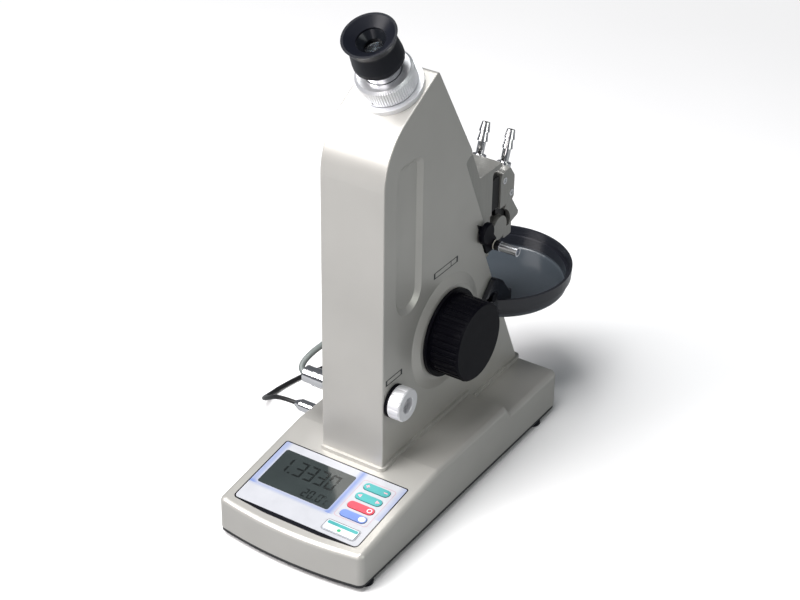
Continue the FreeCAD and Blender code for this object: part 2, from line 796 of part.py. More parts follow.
wallBore = 1.8
pinionAngle = math.atan2(axisUp.z, axisUp.y)
pinionX = crownRadius - pinionHalf
pinion = pinionTeeth(pinionX, crownRadius + pinionHalf, pinionPoint.y, pinionPoint.z, pinionAngle)
save("compensator_pinion", fused(pinion, pulley(pinionPoint.y, pinionPoint.z),
     crossRod(pinionX, innerHalf + wallBore, pinionPoint.y, pinionPoint.z, pinionShaft)))

# The belt lies round both pulleys
beltAlong = at(0, pinionPoint.y - compensatorY, pinionPoint.z - compensatorZ)
beltUnit = FreeCAD.Vector(beltAlong).normalize()
beltSide = at(0, -beltUnit.z, beltUnit.y)


def beltLoop(radius, x0, x1):
    low = at(x0, compensatorY, compensatorZ)
    high = at(x0, pinionPoint.y, pinionPoint.z)
    edges = [Part.LineSegment(low.add(beltSide * radius), high.add(beltSide * radius)).toShape(),
             Part.Arc(high.add(beltSide * radius), high.add(beltUnit * radius),
                      high.sub(beltSide * radius)).toShape(),
             Part.LineSegment(high.sub(beltSide * radius), low.sub(beltSide * radius)).toShape(),
             Part.Arc(low.sub(beltSide * radius), low.sub(beltUnit * radius),
                      low.add(beltSide * radius)).toShape()]
    return Part.Face(Part.Wire(edges)).extrude(at(x1 - x0, 0, 0))


beltX = pulleyStart + pulleyCheek + beltInset
beltInner = pulleyGroove + beltInset
save("compensator_belt", beltLoop(beltInner + beltThickness, beltX, beltX + beltWidth).cut(
    beltLoop(beltInner, beltX - overrun, beltX + beltWidth + overrun)))

# Compensator knob on the right side
collarRadius = 10.6
collarOut = 1.5
silverRadius = 10.6
silverLength = 8.7
silverRecess = 5.3
silverRecessDepth = 1.2
knobGap = 0.3
silverStart = halfColumn + collarOut + knobGap
silverEnd = silverStart + silverLength
knobSocket = 6.0
save("compensator_shaft", fused(pulley(compensatorY, compensatorZ),
     crossRod(pulleyStart, silverStart + knobSocket, compensatorY, compensatorZ, compensatorShaft)))
bush = crossRod(halfColumn, halfColumn + collarOut, compensatorY, compensatorZ, collarRadius)
bush = bush.fuse(crossRod(innerHalf, halfColumn, compensatorY, compensatorZ, compensatorBush))
bore = crossRod(0, silverEnd, compensatorY, compensatorZ, compensatorShaft + turnFit)
save("compensator_bush", bush.cut(bore))
flute = 0.5
fluteOut = 0.1667
fluteCount = 40


def flutes(x0, x1, y, z, radius, size, count):
    cutters = []
    for k in range(count):
        turn = 2 * math.pi * k / count
        cutters.append(crossRod(x0, x1, y + radius * math.cos(turn), z + radius * math.sin(turn), size))
    return cutters


silver = crossRod(silverStart, silverEnd, compensatorY, compensatorZ, silverRadius)
silver = silver.cut(flutes(silverStart + flute, silverEnd - flute * 2, compensatorY, compensatorZ,
                           silverRadius + fluteOut, flute, fluteCount))
silver = silver.cut(crossRod(silverEnd - silverRecessDepth, silverEnd + overrun, compensatorY, compensatorZ,
                             silverRecess))
silver = silver.cut(crossRod(0, silverStart + knobSocket, compensatorY, compensatorZ, compensatorShaft))
save("compensator_knob", silver)

# Measuring drive: knob, shaft, pinion, encoder and the swinging mirror sector
knobFlange = 28.4
knobFlangeThickness = 2.0
knobRadius = 25.4
knobEnd = 46.3
knobEdge = 1.2
ribSize = 1.3
ribCount = 36
bushLip = 1.6
chassisPlate = 3.0
chassisX = -12.0
chassisBack = chassisX - chassisPlate
flangeStart = halfColumn + riseOut + knobGap
bodyStart = flangeStart + knobFlangeThickness
knob = fused(crossRod(flangeStart, bodyStart, measureY, measureZ, knobFlange),
             crossRod(bodyStart, knobEnd - knobEdge, measureY, measureZ, knobRadius),
             crossCone(knobEnd - knobEdge, knobEnd, measureY, measureZ, knobRadius, knobRadius - knobEdge))
knob = knob.cut(flutes(bodyStart + ribSize, knobEnd + overrun, measureY, measureZ, knobRadius + ribSize / 2,
                       ribSize, ribCount))
knobSocketDepth = 14.0
knob = knob.cut(crossRod(0, flangeStart + knobSocketDepth, measureY, measureZ, measureShaft))
save("measuring_knob", knob)

sectorThickness = 2.4
sectorX = chassisX + 2 * runFit
sectorPitch = math.hypot(mirrorPoint.y - measureY, mirrorPoint.z - measureZ) - gearPitch
sectorRoot = sectorPitch + gearPitch - gearTip - gearGap
sectorTip = sectorPitch + gearPitch - gearRoot - gearGap
towardMirror = math.atan2(mirrorPoint.z - measureZ, mirrorPoint.y - measureY)
measurePinion = pinionTeeth(sectorX - runFit, sectorX + sectorThickness + runFit, measureY, measureZ,
                            towardMirror)
save("measuring_shaft", fused(measurePinion, crossRod(chassisBack, flangeStart + knobSocketDepth,
                                                      measureY, measureZ, measureShaft)))
bush = crossRod(innerHalf - bushLip, halfColumn + riseOut, measureY, measureZ, measureBush)
save("measuring_bush", bush.cut(crossRod(0, knobEnd, measureY, measureZ, measureShaft + turnFit)))

discX = sectorX + 2 * sectorThickness
discRadius = 16.0
discThickness = 1.0
disc = crossRod(discX, discX + discThickness, measureY, measureZ, discRadius)
disc = disc.fuse(crossRod(discX, discX + sectorThickness, measureY, measureZ, measureBush))
bore = crossRod(discX - overrun, discX + sectorThickness + overrun, measureY, measureZ, measureShaft)
save("encoder_disc", disc.cut(bore))

readerHeight = 10.0
readerDepth = 9.0
readerWeb = 3.0
readerGap = 1.2
readerBack = measureY - discRadius + readerDepth / 2
readerFront = readerBack - readerDepth
readerEnd = discX + discThickness + readerGap + readerWeb
reader = block(chassisX, readerEnd, readerFront, readerBack, measureZ - readerHeight / 2,
               measureZ + readerHeight / 2)
slot = block(discX - readerGap, discX + discThickness + readerGap, readerFront + readerWeb,
             readerBack + overrun, measureZ - readerHeight, measureZ + readerHeight)
save("encoder_reader", reader.cut(slot))

mirrorHalfWidth = -(sectorX + sectorThickness + flatGap)
mirrorHalfHeight = 8.0
mirrorThickness = 2.5
carrierThickness = 2.0
carrierCheek = 2.0
cheekRadius = 4.0
hubRadius = 6.3
sectorHalfDegrees = 13.0
sectorHalfAngle = math.radians(sectorHalfDegrees)
sectorRim = 6.0
armHalf = 3.5
toMeasure = at(0, measureY - mirrorPoint.y, measureZ - mirrorPoint.z).normalize()
armSide = at(0, -toMeasure.z, toMeasure.y)


def fromMirror(x, out, side):
    return at(x, mirrorPoint.y, mirrorPoint.z).add(toMeasure * out).add(armSide * side)


def sectorFace(outer, inner, x):
    sine = math.sin(sectorHalfAngle)
    cosine = math.cos(sectorHalfAngle)
    edges = [Part.Arc(fromMirror(x, outer * cosine, -outer * sine), fromMirror(x, outer, 0),
                      fromMirror(x, outer * cosine, outer * sine)).toShape(),
             Part.LineSegment(fromMirror(x, outer * cosine, outer * sine),
                              fromMirror(x, inner * cosine, inner * sine)).toShape(),
             Part.Arc(fromMirror(x, inner * cosine, inner * sine), fromMirror(x, inner, 0),
                      fromMirror(x, inner * cosine, -inner * sine)).toShape(),
             Part.LineSegment(fromMirror(x, inner * cosine, -inner * sine),
                              fromMirror(x, outer * cosine, -outer * sine)).toShape()]
    return Part.Face(Part.Wire(edges))


thick = at(sectorThickness, 0, 0)
sector = sectorFace(sectorRoot, sectorRoot - sectorRim, sectorX).extrude(thick)
arm = roundedFace(plain((0, -armHalf), (sectorRoot - sectorRim / 2, -armHalf),
                        (sectorRoot - sectorRim / 2, armHalf), (0, armHalf)),
                  lambda out, side: fromMirror(sectorX, out, side)).extrude(thick)
toothStep = toothPitch / sectorPitch
toothFoot = toothPitch * toothShare / 2
toothCrest = toothFoot * toothTaperShare
sectorSteps = int(sectorHalfAngle / toothStep)
teeth = []
for k in range(-sectorSteps, sectorSteps):
    turn = (k + 0.5) * toothStep
    cosine = math.cos(turn)
    sine = math.sin(turn)

    def toothPoint(r, t):
        return fromMirror(sectorX, r * cosine - t * sine, r * sine + t * cosine)
    inRim = sectorRoot - sectorRim / 2
    tooth = plain((inRim, -toothFoot), (sectorRoot, -toothFoot), (sectorTip, -toothCrest),
                  (sectorTip, toothCrest), (sectorRoot, toothFoot), (inRim, toothFoot))
    face = roundedFace(tooth, toothPoint)
    teeth.append(face.extrude(thick))
# The mirror's face passes through the shaft's axis and halves the angle between both light paths
fromPrism = mirrorPoint.sub(prismCentre).normalize()
mirrorNormal = axisUp.sub(fromPrism).normalize()
mirrorAlong = at(0, -mirrorNormal.z, mirrorNormal.y)


def mirrorSlab(half, deep0, deep1, x0, x1):
    def place(a, d):
        return at(x0, mirrorPoint.y, mirrorPoint.z).add(mirrorAlong * a).sub(mirrorNormal * d)
    return roundedFace(roundedRectangle(-half, half, deep0, deep1, 0), place).extrude(at(x1 - x0, 0, 0))


stubEnd = innerHalf - flatGap
cheekStart = mirrorHalfWidth + turnFit
cheekEnd = cheekStart + carrierCheek
carrier = mirrorSlab(mirrorHalfHeight, mirrorThickness, mirrorThickness + carrierThickness, sectorX, cheekEnd)
save("mirror_sector", fused(sector, arm, *teeth, carrier,
     crossRod(sectorX, sectorX + sectorThickness, mirrorPoint.y, mirrorPoint.z, hubRadius),
     crossRod(chassisBack, sectorX, mirrorPoint.y, mirrorPoint.z, mirrorShaft),
     crossRod(cheekStart, cheekEnd, mirrorPoint.y, mirrorPoint.z, cheekRadius),
     crossRod(cheekEnd, stubEnd, mirrorPoint.y, mirrorPoint.z, mirrorShaft)))
save("measuring_mirror", mirrorSlab(mirrorHalfHeight, 0, mirrorThickness, -mirrorHalfWidth, mirrorHalfWidth))

# Chassis plate on the left wall, with the bearing hubs and the sleeve round the compensator
chassisOutline = [(96.0, 92.0, cheekRadius), (150.0, 88.0, cheekRadius), (165.0, 160.0, cheekRadius),
                  (152.0, 196.0, cheekRadius), (126.0, 232.0, cheekRadius), (106.0, 232.0, cheekRadius),
                  (90.0, 130.0, cheekRadius)]
tubeRadius = 9.0
sleeveWall = sleeveRadius - cellRadius
sleeveStart = pinionDistance - gearTip - gearGap - cellLength - sleeveTopThickness - flatGap
sleeveEnd = pinionDistance + gearTip + gearGap + cellLength
windowHalf = gearTip + sleeveWall
chassis = sideSlab(chassisOutline, chassisBack, chassisX)
for y, z, radius in ((measureY, measureZ, measureBush), (mirrorPoint.y, mirrorPoint.z, cheekRadius)):
    chassis = chassis.fuse(crossRod(chassisX, chassisX + runFit, y, z, radius))
standoffOffsets = [(-30.5, -1.0), (7.5, -4.0), (-22.5, 123.0), (5.5, 99.0)]
for y, z in standoffOffsets:
    chassis = chassis.fuse(crossRod(-innerHalf, chassisBack, measureY + y, measureZ + z, cheekRadius))
chassis = chassis.fuse(rod(onAxis(-sleeveEnd), onAxis(-sleeveStart), sleeveRadius))
chassis = chassis.cut(rod(onAxis(-sleeveEnd - overrun), onAxis(-sleeveStart - sleeveTopThickness),
                          cellRadius + turnFit))
chassis = chassis.cut(rod(onAxis(-sleeveEnd), onAxis(-sleeveStart + overrun), tubeRadius))
opening = rod(onAxis(-pinionDistance - windowHalf), onAxis(-pinionDistance + windowHalf),
              sleeveRadius + overrun)
opening = opening.common(block(0, halfColumn, flangeY - deckHeight, shoulderY + deckHeight, 0, apexZ))
chassis = chassis.cut(opening)
chassis = chassis.cut(crossRod(chassisBack - overrun, chassisX + overrun, measureY, measureZ,
                               measureShaft + turnFit))
chassis = chassis.cut(crossRod(chassisBack - overrun, chassisX + overrun, mirrorPoint.y, mirrorPoint.z,
                               mirrorShaft + turnFit))
save("optics_chassis", chassis.removeSplitter())

# Telescope tube under the flange, with its reticle and objective
tubeBore = 7.6
tubeCollar = 13.0
tubeCollarThickness = 2.0
tubeEnd = sleeveStart + sleeveTopThickness
reticleAt = 9.0
reticleThickness = 1.5
objectiveAt = 39.0
objectiveThickness = 4.5
downAxis = axisUp * -1
collarEnd = spigotDepth + tubeCollarThickness
tubeProfile = plain((tubeBore, spigotDepth), (tubeCollar, spigotDepth), (tubeCollar, collarEnd),
                    (tubeRadius, collarEnd), (tubeRadius, tubeEnd), (tubeBore, tubeEnd))
save("telescope_tube", turned(tubeProfile, flangeOrigin, downAxis))
save("reticle", rod(onAxis(-reticleAt), onAxis(-reticleAt - reticleThickness), tubeBore))
save("objective_lens", rod(onAxis(-objectiveAt), onAxis(-objectiveAt - objectiveThickness), tubeBore))

# Prism unit on the column's back
unitHalf = 20.0
plateThickness = 9.8
plateTop = 205.5
capTop = 188.0
capBack = 200.5
capThickness = 3.0
housingBack = 189.0
capHollow = 3.0
bracketBack = 187.3
bracketBottom = 128.0
hingeY = 200.4
hingeZ = 141.5
knuckleRadius = 8.0
knuckleHalf = 16.7
hingePin = 2.5
hingeWeb = 185.0
webBelow = 3.0
webAbove = 4.5
pinEnd = 18.0
hingeCap = 4.2
hingeCapThickness = 0.6
hingeGap = 12.3
prismX = 19.0
mainPrismFront = 183.0
glassRebate = 1.5
glandY = 180.0
glandZ = 146.0
glandRadius = 5.0
glandLength = 7.0
lockY = 176.2
lockZ = 150.2
lockShaft = 2.5
lockDepth = 6.0
probeY = 187.8
probeZ = 136.8
probeShaft = 2.0
probeDepth = 3.0
probeBossBack = 190.6
probeBossBelow = 3.6
probeBossRound = 1.5
glassFace = prismFaceY - flatGap / 2

stepZ = seatBottom - seatOut * math.cos(backSlope)
plateOut = seatOut + plateThickness
tipRise = plateThickness * math.cos(backSlope)
unitProfile = [(rearLine(plateTop, seatOut), plateTop, 0),
               (rearLine(plateTop + tipRise, plateOut), plateTop + tipRise, glassRebate),
               (rearLine(capTop, plateOut), capTop, capHollow), (capBack, capTop, glassRebate),
               (capBack, capTop - capThickness, 0), (housingBack, capTop - capThickness, capHollow),
               (housingBack, prismBottom, 0), (bracketBack, prismBottom, 0),
               (bracketBack, bracketBottom, glassRebate),
               (rearLine(bracketBottom, 0), bracketBottom, 0), (rearLine(stepZ, 0), stepZ, stepRound),
               (rearLine(seatBottom, seatOut), seatBottom, stepRound)]
unit = sideSlab(unitProfile, -unitHalf, unitHalf)
glass = block(-prismX, prismX, mainPrismFront, glassFace, prismBottom + glassRebate, prismTop - glassRebate)
for side in (-1, 1):
    x0 = min(side * (knuckleHalf + flatGap), side * unitHalf)
    x1 = max(side * (knuckleHalf + flatGap), side * unitHalf)
    unit = unit.fuse(block(x0, x1, hingeWeb, hingeY, hingeZ - webBelow, hingeZ + webAbove))
    unit = unit.fuse(crossRod(x0, x1, hingeY, hingeZ, knuckleRadius))
unit = unit.fuse(crossRod(-unitHalf - glandLength, -unitHalf, glandY, glandZ, glandRadius))
probeBoss = [(hingeWeb, probeZ - probeBossBelow, 0), (probeBossBack, probeZ - probeBossBelow, probeBossRound),
             (probeBossBack, hingeZ, 0), (hingeWeb, hingeZ, 0)]
unit = unit.fuse(sideSlab(probeBoss, knuckleHalf + flatGap, unitHalf))
for tool in (glass, rod(mirrorPoint, prismCentre, lightPort),
             crossRod(-unitHalf - overrun, pinEnd, hingeY, hingeZ, hingePin),
             crossRod(unitHalf - lockDepth, unitHalf + overrun, lockY, lockZ, lockShaft + turnFit),
             crossRod(unitHalf - probeDepth, unitHalf + overrun, probeY, probeZ, probeShaft)):
    unit = unit.cut(tool)
save("main_prism_housing", unit.removeSplitter())
save("main_prism", glass)

holderFront = prismFaceY + flatGap
holderTopBack = 210.5
holderChamfer = 172.5
holderBack = 216.0
holderRear = 213.8
holderLow = 158.0
holderRound = 5.0
lobeTip = (223.8, 142.2)
lobeFoot = (212.7, 139.5)
lobeRound = 2.0
heelFront = 205.6
heelBack = 214.8
heelBottom = 131.4
heelTop = 138.8
heelStep = 212.2
heelRound = 1.0
heelGap = 0.4
heelHalf = unitHalf - heelGap
secondX = 16.0
secondDepth = 9.0
holderProfile = [(holderFront, prismBottom, 0), (holderFront, prismTop, holderRound),
                 (holderTopBack, prismTop, glassRebate), (holderBack, holderChamfer, glassRebate),
                 (holderBack, holderLow, glassRebate), (holderRear, prismBottom, glassRebate)]
lobeProfile = [(hingeY + knuckleRadius, holderLow, 0), (holderRear, holderLow - glassRebate, 0),
               (lobeTip[0], lobeTip[1], lobeRound), (lobeFoot[0], lobeFoot[1], lobeRound),
               (hingeY + hingePin, hingeZ + knuckleRadius, 0)]
holder = sideSlab(holderProfile, -unitHalf, unitHalf).fuse(sideSlab(lobeProfile, -unitHalf, unitHalf))
holder = holder.cut(crossRod(-unitHalf - overrun, unitHalf + overrun, hingeY, hingeZ, hingeGap))
knuckleWeb = plain((holderFront, hingeZ), (hingeY + knuckleRadius, hingeZ), (holderRear, holderLow),
                   (holderFront, holderLow))
holder = holder.fuse(sideSlab(knuckleWeb, -knuckleHalf, knuckleHalf))
heel = sideSlab([(heelFront, heelBottom, heelRound), (heelBack, heelBottom, heelRound),
                 (heelBack, hingeZ, 0), (heelStep, hingeZ, 0), (heelStep, heelTop, 0), (heelFront, heelTop, 0)],
                -heelHalf, heelHalf)
for side in (-1, 1):
    inner = side * knuckleHalf
    outer = side * (unitHalf + overrun)
    heel = heel.cut(crossRod(min(inner, outer), max(inner, outer), hingeY, hingeZ, knuckleRadius + heelGap))
holder = holder.fuse(heel)
holder = holder.fuse(crossRod(-knuckleHalf, knuckleHalf, hingeY, hingeZ, knuckleRadius))
second = block(-secondX, secondX, holderFront, holderFront + secondDepth, prismBottom + holderRound,
               prismTop - holderRound)
holderScrewOffsets = [(3.2, 32.0), (11.8, 20.2)]
holderScrews = [(hingeY + y, hingeZ + z) for y, z in holderScrewOffsets]
holderScrewRadius = 2.2
holderScrewDepth = 3.0
holderScrewProud = 0.5
hexRadius = 1.2
hexSides = 6
nippleY = 213.0
nippleZ = 176.6
nippleDegrees = 20.0
nippleLean = math.radians(nippleDegrees)
nipplePlaces = (-5.0, 13.0)
nippleLength = 24.5
nippleNut = 4.6
nippleNutHeight = 4.0
nippleTube = 2.6
nippleBarb = 3.5
nippleBarbLength = 6.0
nippleBore = 1.6
nippleSunk = 4.0
nippleAxis = at(0, math.sin(nippleLean), math.cos(nippleLean))
holder = holder.cut(second)
holder = holder.cut(crossRod(-knuckleHalf - overrun, knuckleHalf + overrun, hingeY, hingeZ,
                             hingePin + turnFit))
for y, z in holderScrews:
    for side in (-1, 1):
        near = side * (unitHalf - holderScrewDepth)
        far = side * (unitHalf + overrun)
        holder = holder.cut(crossRod(min(near, far), max(near, far), y, z, holderScrewRadius))
nipples = []
for x in nipplePlaces:
    base = at(x, nippleY, nippleZ)
    start = base.sub(nippleAxis * nippleSunk)
    stem = rod(start, base, nippleTube)
    holder = holder.cut(stem)
    barbStart = nippleLength - 2 * nippleBarbLength
    profile = [(nippleBore, 0, 0), (nippleNut, 0, 0), (nippleNut, nippleNutHeight, nippleBore / 2),
               (nippleTube, nippleNutHeight, 0), (nippleTube, barbStart, 0), (nippleBarb, barbStart, 0),
               (nippleTube, barbStart + nippleBarbLength, 0), (nippleBarb, barbStart + nippleBarbLength, 0),
               (nippleTube, nippleLength, 0), (nippleBore, nippleLength, 0)]
    body = turned(profile, base, nippleAxis)
    nipples.append(fused(body, stem).cut(holder))
save("secondary_prism_holder", holder.removeSplitter())
save("secondary_prism", second)
save("hose_nipples", *nipples)

pin = crossRod(-unitHalf, pinEnd, hingeY, hingeZ, hingePin)
pin = pin.fuse(crossRod(-unitHalf - hingeCapThickness, -unitHalf, hingeY, hingeZ, hingeCap))
save("hinge_pin", pin)

screwPieces = []
for y, z in holderScrews:
    for side in (-1, 1):
        inner = side * (unitHalf - holderScrewDepth)
        outer = side * (unitHalf + holderScrewProud)
        head = crossRod(min(inner, outer), max(inner, outer), y, z, holderScrewRadius)
        hexagon = []
        for k in range(hexSides):
            turn = 2 * math.pi * k / hexSides
            hexagon.append((y + hexRadius * math.cos(turn), z + hexRadius * math.sin(turn), 0))
        middleX = side * (unitHalf - holderScrewProud)
        socket = sideSlab(hexagon, min(middleX, outer + side * overrun), max(middleX, outer + side * overrun))
        screwPieces.append(head.cut(socket))
save("holder_screws", *screwPieces)

# Black cover beside the prism bracket, with the lock knob and the temperature probe
coverOut = 3.0
sideCoverTop = 159.0
sideCoverBottom = 133.5
sideCoverMiddle = (183.0, 150.0)
sideCoverBack = 191.0
sideCoverLow = 140.0
sideCoverRound = 2.0
lockRadius = 7.2
lockThickness = 3.0
lockEdge = 1.0
coverFace = unitHalf + coverOut
sideCover = sideSlab([(rearLine(sideCoverTop, flatGap), sideCoverTop, 0),
                      (sideCoverMiddle[0], sideCoverMiddle[1], sideCoverRound),
                      (sideCoverBack, sideCoverLow, sideCoverRound),
                      (sideCoverBack, sideCoverBottom, sideCoverRound),
                      (rearLine(sideCoverBottom, flatGap), sideCoverBottom, 0)], unitHalf, coverFace)
sideCover = sideCover.cut(sideSlab(columnSide(footProfile), -halfColumn - flatGap, halfColumn + flatGap / 2))
sideCover = sideCover.cut(crossRod(unitHalf - overrun, coverFace + overrun, lockY, lockZ,
                                   lockShaft + turnFit))
sideCover = sideCover.cut(crossRod(unitHalf - overrun, coverFace + overrun, probeY, probeZ, probeShaft))
save("hinge_side_cover", sideCover)

lockStart = coverFace + knobGap
lockEnd = lockStart + lockThickness
lock = fused(crossRod(lockStart, lockEnd - lockEdge, lockY, lockZ, lockRadius),
             crossCone(lockEnd - lockEdge, lockEnd, lockY, lockZ, lockRadius, lockRadius - lockEdge),
             crossRod(unitHalf - lockDepth + flatGap, lockStart, lockY, lockZ, lockShaft))
save("prism_lock_knob", lock)

probeSteps = [(5.3, 3.2), (11.0, 2.9), (1.3, 3.1)]
probeBore = 2.1
probeBoreDepth = 3.0
probe = crossRod(unitHalf - probeDepth, coverFace, probeY, probeZ, probeShaft)
stepStart = coverFace
for length, radius in probeSteps:
    probe = probe.fuse(crossRod(stepStart, stepStart + length, probeY, probeZ, radius))
    stepStart = stepStart + length
probe = probe.cut(crossRod(stepStart - probeBoreDepth, stepStart + overrun, probeY, probeZ, probeBore))
save("temperature_probe", probe)

# Drip tray behind the column, hung by two ears on pegs
trayRim = 94.7
trayFloor = 79.0
trayWall = 1.8
trayFoot = 46.0
trayStepRadius = 47.0
trayStep = 8.3
trayRound = 3.0
notchGap = 0.5
notchHalf = halfColumn + notchGap
earThickness = 3.0
earEnd = notchHalf + earThickness
notchBack = rearLine(trayFloor, 0) + 2 * notchGap
traySpace = trayFloor + trayWall
outerBowl = [(0, trayFloor, 0), (trayFoot, trayFloor, trayRound), (trayStepRadius, trayFloor + trayStep, 0),
             (trayStepRadius + trayWall, trayFloor + trayStep, 0), (trayRadius, trayRim, 0), (0, trayRim, 0)]
innerBowl = [(0, traySpace, 0), (trayFoot - trayWall / 2, traySpace, trayRound - trayWall),
             (trayStepRadius - trayWall, traySpace + trayStep, 0), (trayStepRadius, traySpace + trayStep, 0),
             (trayRadius - trayWall, trayRim, 0), (trayRadius - trayWall, trayRim + overrun, 0),
             (0, trayRim + overrun, 0)]
trayAxis = at(0, trayCentre, 0)
bowl = turned(outerBowl, trayAxis, at(0, 0, 1))
hollow = turned(innerBowl, trayAxis, at(0, 0, 1))
front = trayCentre - trayRadius - overrun
notchWall = block(-earEnd, earEnd, front, notchBack + earThickness, trayFloor, trayRim)
notch = block(-notchHalf, notchHalf, front, notchBack, trayFloor - overrun, trayRim + overrun)
tray = bowl.cut(hollow.cut(notchWall)).cut(notch)
earProfile = [(177.5, 92.0, 1.0), (174.5, 100.0, 2.0), (188.0, 113.5, 4.0), (197.0, 107.0, 6.0),
              (206.0, 95.0, 2.0), (206.0, trayFloor + trayWall, 0), (198.0, trayFloor + trayWall, 0),
              (190.0, 87.0, 2.0)]
slotHalf = pegRadius + notchGap / 2
for side in (-1, 1):
    x0 = min(side * notchHalf, side * earEnd)
    x1 = max(side * notchHalf, side * earEnd)
    ear = sideSlab(earProfile, x0, x1)
    ear = ear.cut(crossRod(x0 - overrun, x1 + overrun, pegY, pegZ, slotHalf))
    ear = ear.cut(block(x0 - overrun, x1 + overrun, columnFront, pegY, pegZ - slotHalf, pegZ + slotHalf))
    tray = tray.fuse(ear)
save("drip_tray", tray.removeSplitter())

pegHead = 3.2
pegHeadThickness = 1.0
pegPieces = []
for side in (-1, 1):
    inner = side * (innerHalf + flatGap)
    neck = side * (earEnd + flatGap)
    outer = side * (earEnd + flatGap + pegHeadThickness)
    pegPieces.append(fused(crossRod(min(inner, neck), max(inner, neck), pegY, pegZ, pegRadius),
                           crossRod(min(neck, outer), max(neck, outer), pegY, pegZ, pegHead)))
save("tray_pegs", *pegPieces)

# Sockets and plugs on the left side
socketLip = 1.0
socketBore = 3.5
socketLength = 12.0
socketTail = 8.0
leadPin = 2.5
leadPinLength = 6.0
leadBody = 4.0
leadBodyLength = 17.0
leadTaper = 4.0
leadTaperEnd = 2.2
leadX = -halfBase


def ring(x0, x1, y, z, outer, bore):
    return crossRod(x0, x1, y, z, outer).cut(crossRod(x0, x1, y, z, bore))


sensorRing = fused(ring(-halfColumn - socketLip, -halfColumn, sensorY, sensorZ, sensorSocket, socketBore),
                   ring(-halfColumn, socketLength - halfColumn, sensorY, sensorZ, sensorNeck, socketBore))
leadRing = fused(ring(leadX, leadX + socketTail, leadSocketY, leadSocketZ, leadSocketNeck, leadPin + turnFit),
                 ring(leadX + baseWall, leadX + baseWall + socketLip, leadSocketY, leadSocketZ,
                      leadSocketRadius, leadPin + turnFit))
save("panel_sockets", sensorRing, leadRing)

plugSteps = [(10.0, 6.6), (10.0, 6.0), (7.0, 5.5)]
plugX = -halfColumn - socketLip
plugPiece = crossRod(plugX, plugX + socketTail, sensorY, sensorZ, socketBore - turnFit)
for length, radius in plugSteps:
    plugPiece = plugPiece.fuse(crossRod(plugX - length, plugX, sensorY, sensorZ, radius))
    plugX = plugX - length
save("sensor_plug", plugPiece)


# A plug whose pin looks back along the cord
def leadPlug(end, direction):
    neck = end.add(direction * leadTaper)
    front = neck.add(direction * leadBodyLength)
    taper = Part.makeCone(leadTaperEnd, leadBody, leadTaper, end, direction)
    return fused(taper, rod(neck, front, leadBody), rod(front, front.add(direction * leadPinLength), leadPin))


# A cord's tube: straight runs with an arc at every point, as large as its runs allow
bendShare = 0.45


def cordTube(name, points, radius):
    edges = []
    radii = []
    length = 0
    last = points[0]
    for i in range(1, len(points) - 1):
        back = points[i - 1].sub(points[i])
        ahead = points[i + 1].sub(points[i])
        shorter = min(back.Length, ahead.Length)
        reach = bendShare * shorter
        toBack = FreeCAD.Vector(back).normalize()
        toAhead = FreeCAD.Vector(ahead).normalize()
        half = toBack.getAngle(toAhead) / 2
        bend = reach * math.tan(half)
        radii.append(round(bend, 1))
        inward = toBack.add(toAhead).normalize()
        start = points[i].add(toBack * reach)
        middle = points[i].add(inward * (bend / math.sin(half) - bend))
        end = points[i].add(toAhead * reach)
        edges.append(Part.LineSegment(last, start).toShape())
        edges.append(Part.Arc(start, middle, end).toShape())
        last = end
    edges.append(Part.LineSegment(last, points[-1]).toShape())
    path = Part.Wire(edges)
    for edge in edges:
        length = length + edge.Length
    circle = Part.Wire(Part.Circle(points[0], points[1].sub(points[0]), radius).toShape())
    tube = path.makePipeShell([circle], True, False)
    print(name, "radii", radii, "length", round(length, 1),
          "volume ratio", round(tube.Volume / (math.pi * radius ** 2 * length), 2))
    return tube


cordRise = 0.1
leadRadius = 1.5
sensorCord = 2.0
floorZ = leadRadius + cordRise
coilX = -44.0
coilY = 262.0
coilTurns = 3.5
coilMiddle = 16.8
coilPitch = 4.15
layerPitch = 4.15

# The coil is two layers of half turns, inwards on the floor and outwards on top
halfTurns = int(2 * coilTurns)
coilOuter = coilMiddle + coilPitch * coilTurns / 2


def coilPoint(index):
    side = 1 if index % 2 == 0 else -1
    inwards = index if index <= halfTurns else 2 * halfTurns + 1 - index
    layer = 0 if index <= halfTurns else 1
    away = coilOuter - coilPitch / 2 * inwards
    return at(coilX - side * away, coilY, floorZ + layer * layerPitch), at(0, side, 0)


def biarc(p0, t0, p1, t1):
    span = p1.sub(p0)
    both = t0.add(t1)
    a = both.dot(both) / 2 - 2
    b = -span.dot(both)
    c = span.dot(span)
    d = (-b - math.sqrt(b * b - 2 * a * c)) / (2 * a)
    q0 = p0.add(t0 * d)
    q1 = p1.sub(t1 * d)
    join = q0.add(q1) * 0.5
    joinWay = q1.sub(q0).normalize()
    arcs = []
    for start, way, end in ((p0, t0, join), (join, joinWay, p1)):
        chord = end.sub(start)
        side = chord.sub(way * chord.dot(way)).normalize()
        bend = chord.dot(chord) / (2 * chord.dot(side))
        centre = start.add(side * bend)
        toMiddle = start.sub(centre).add(end.sub(centre)).normalize()
        arcs.append(Part.Arc(start, centre.add(toMiddle * bend), end).toShape())
    return arcs


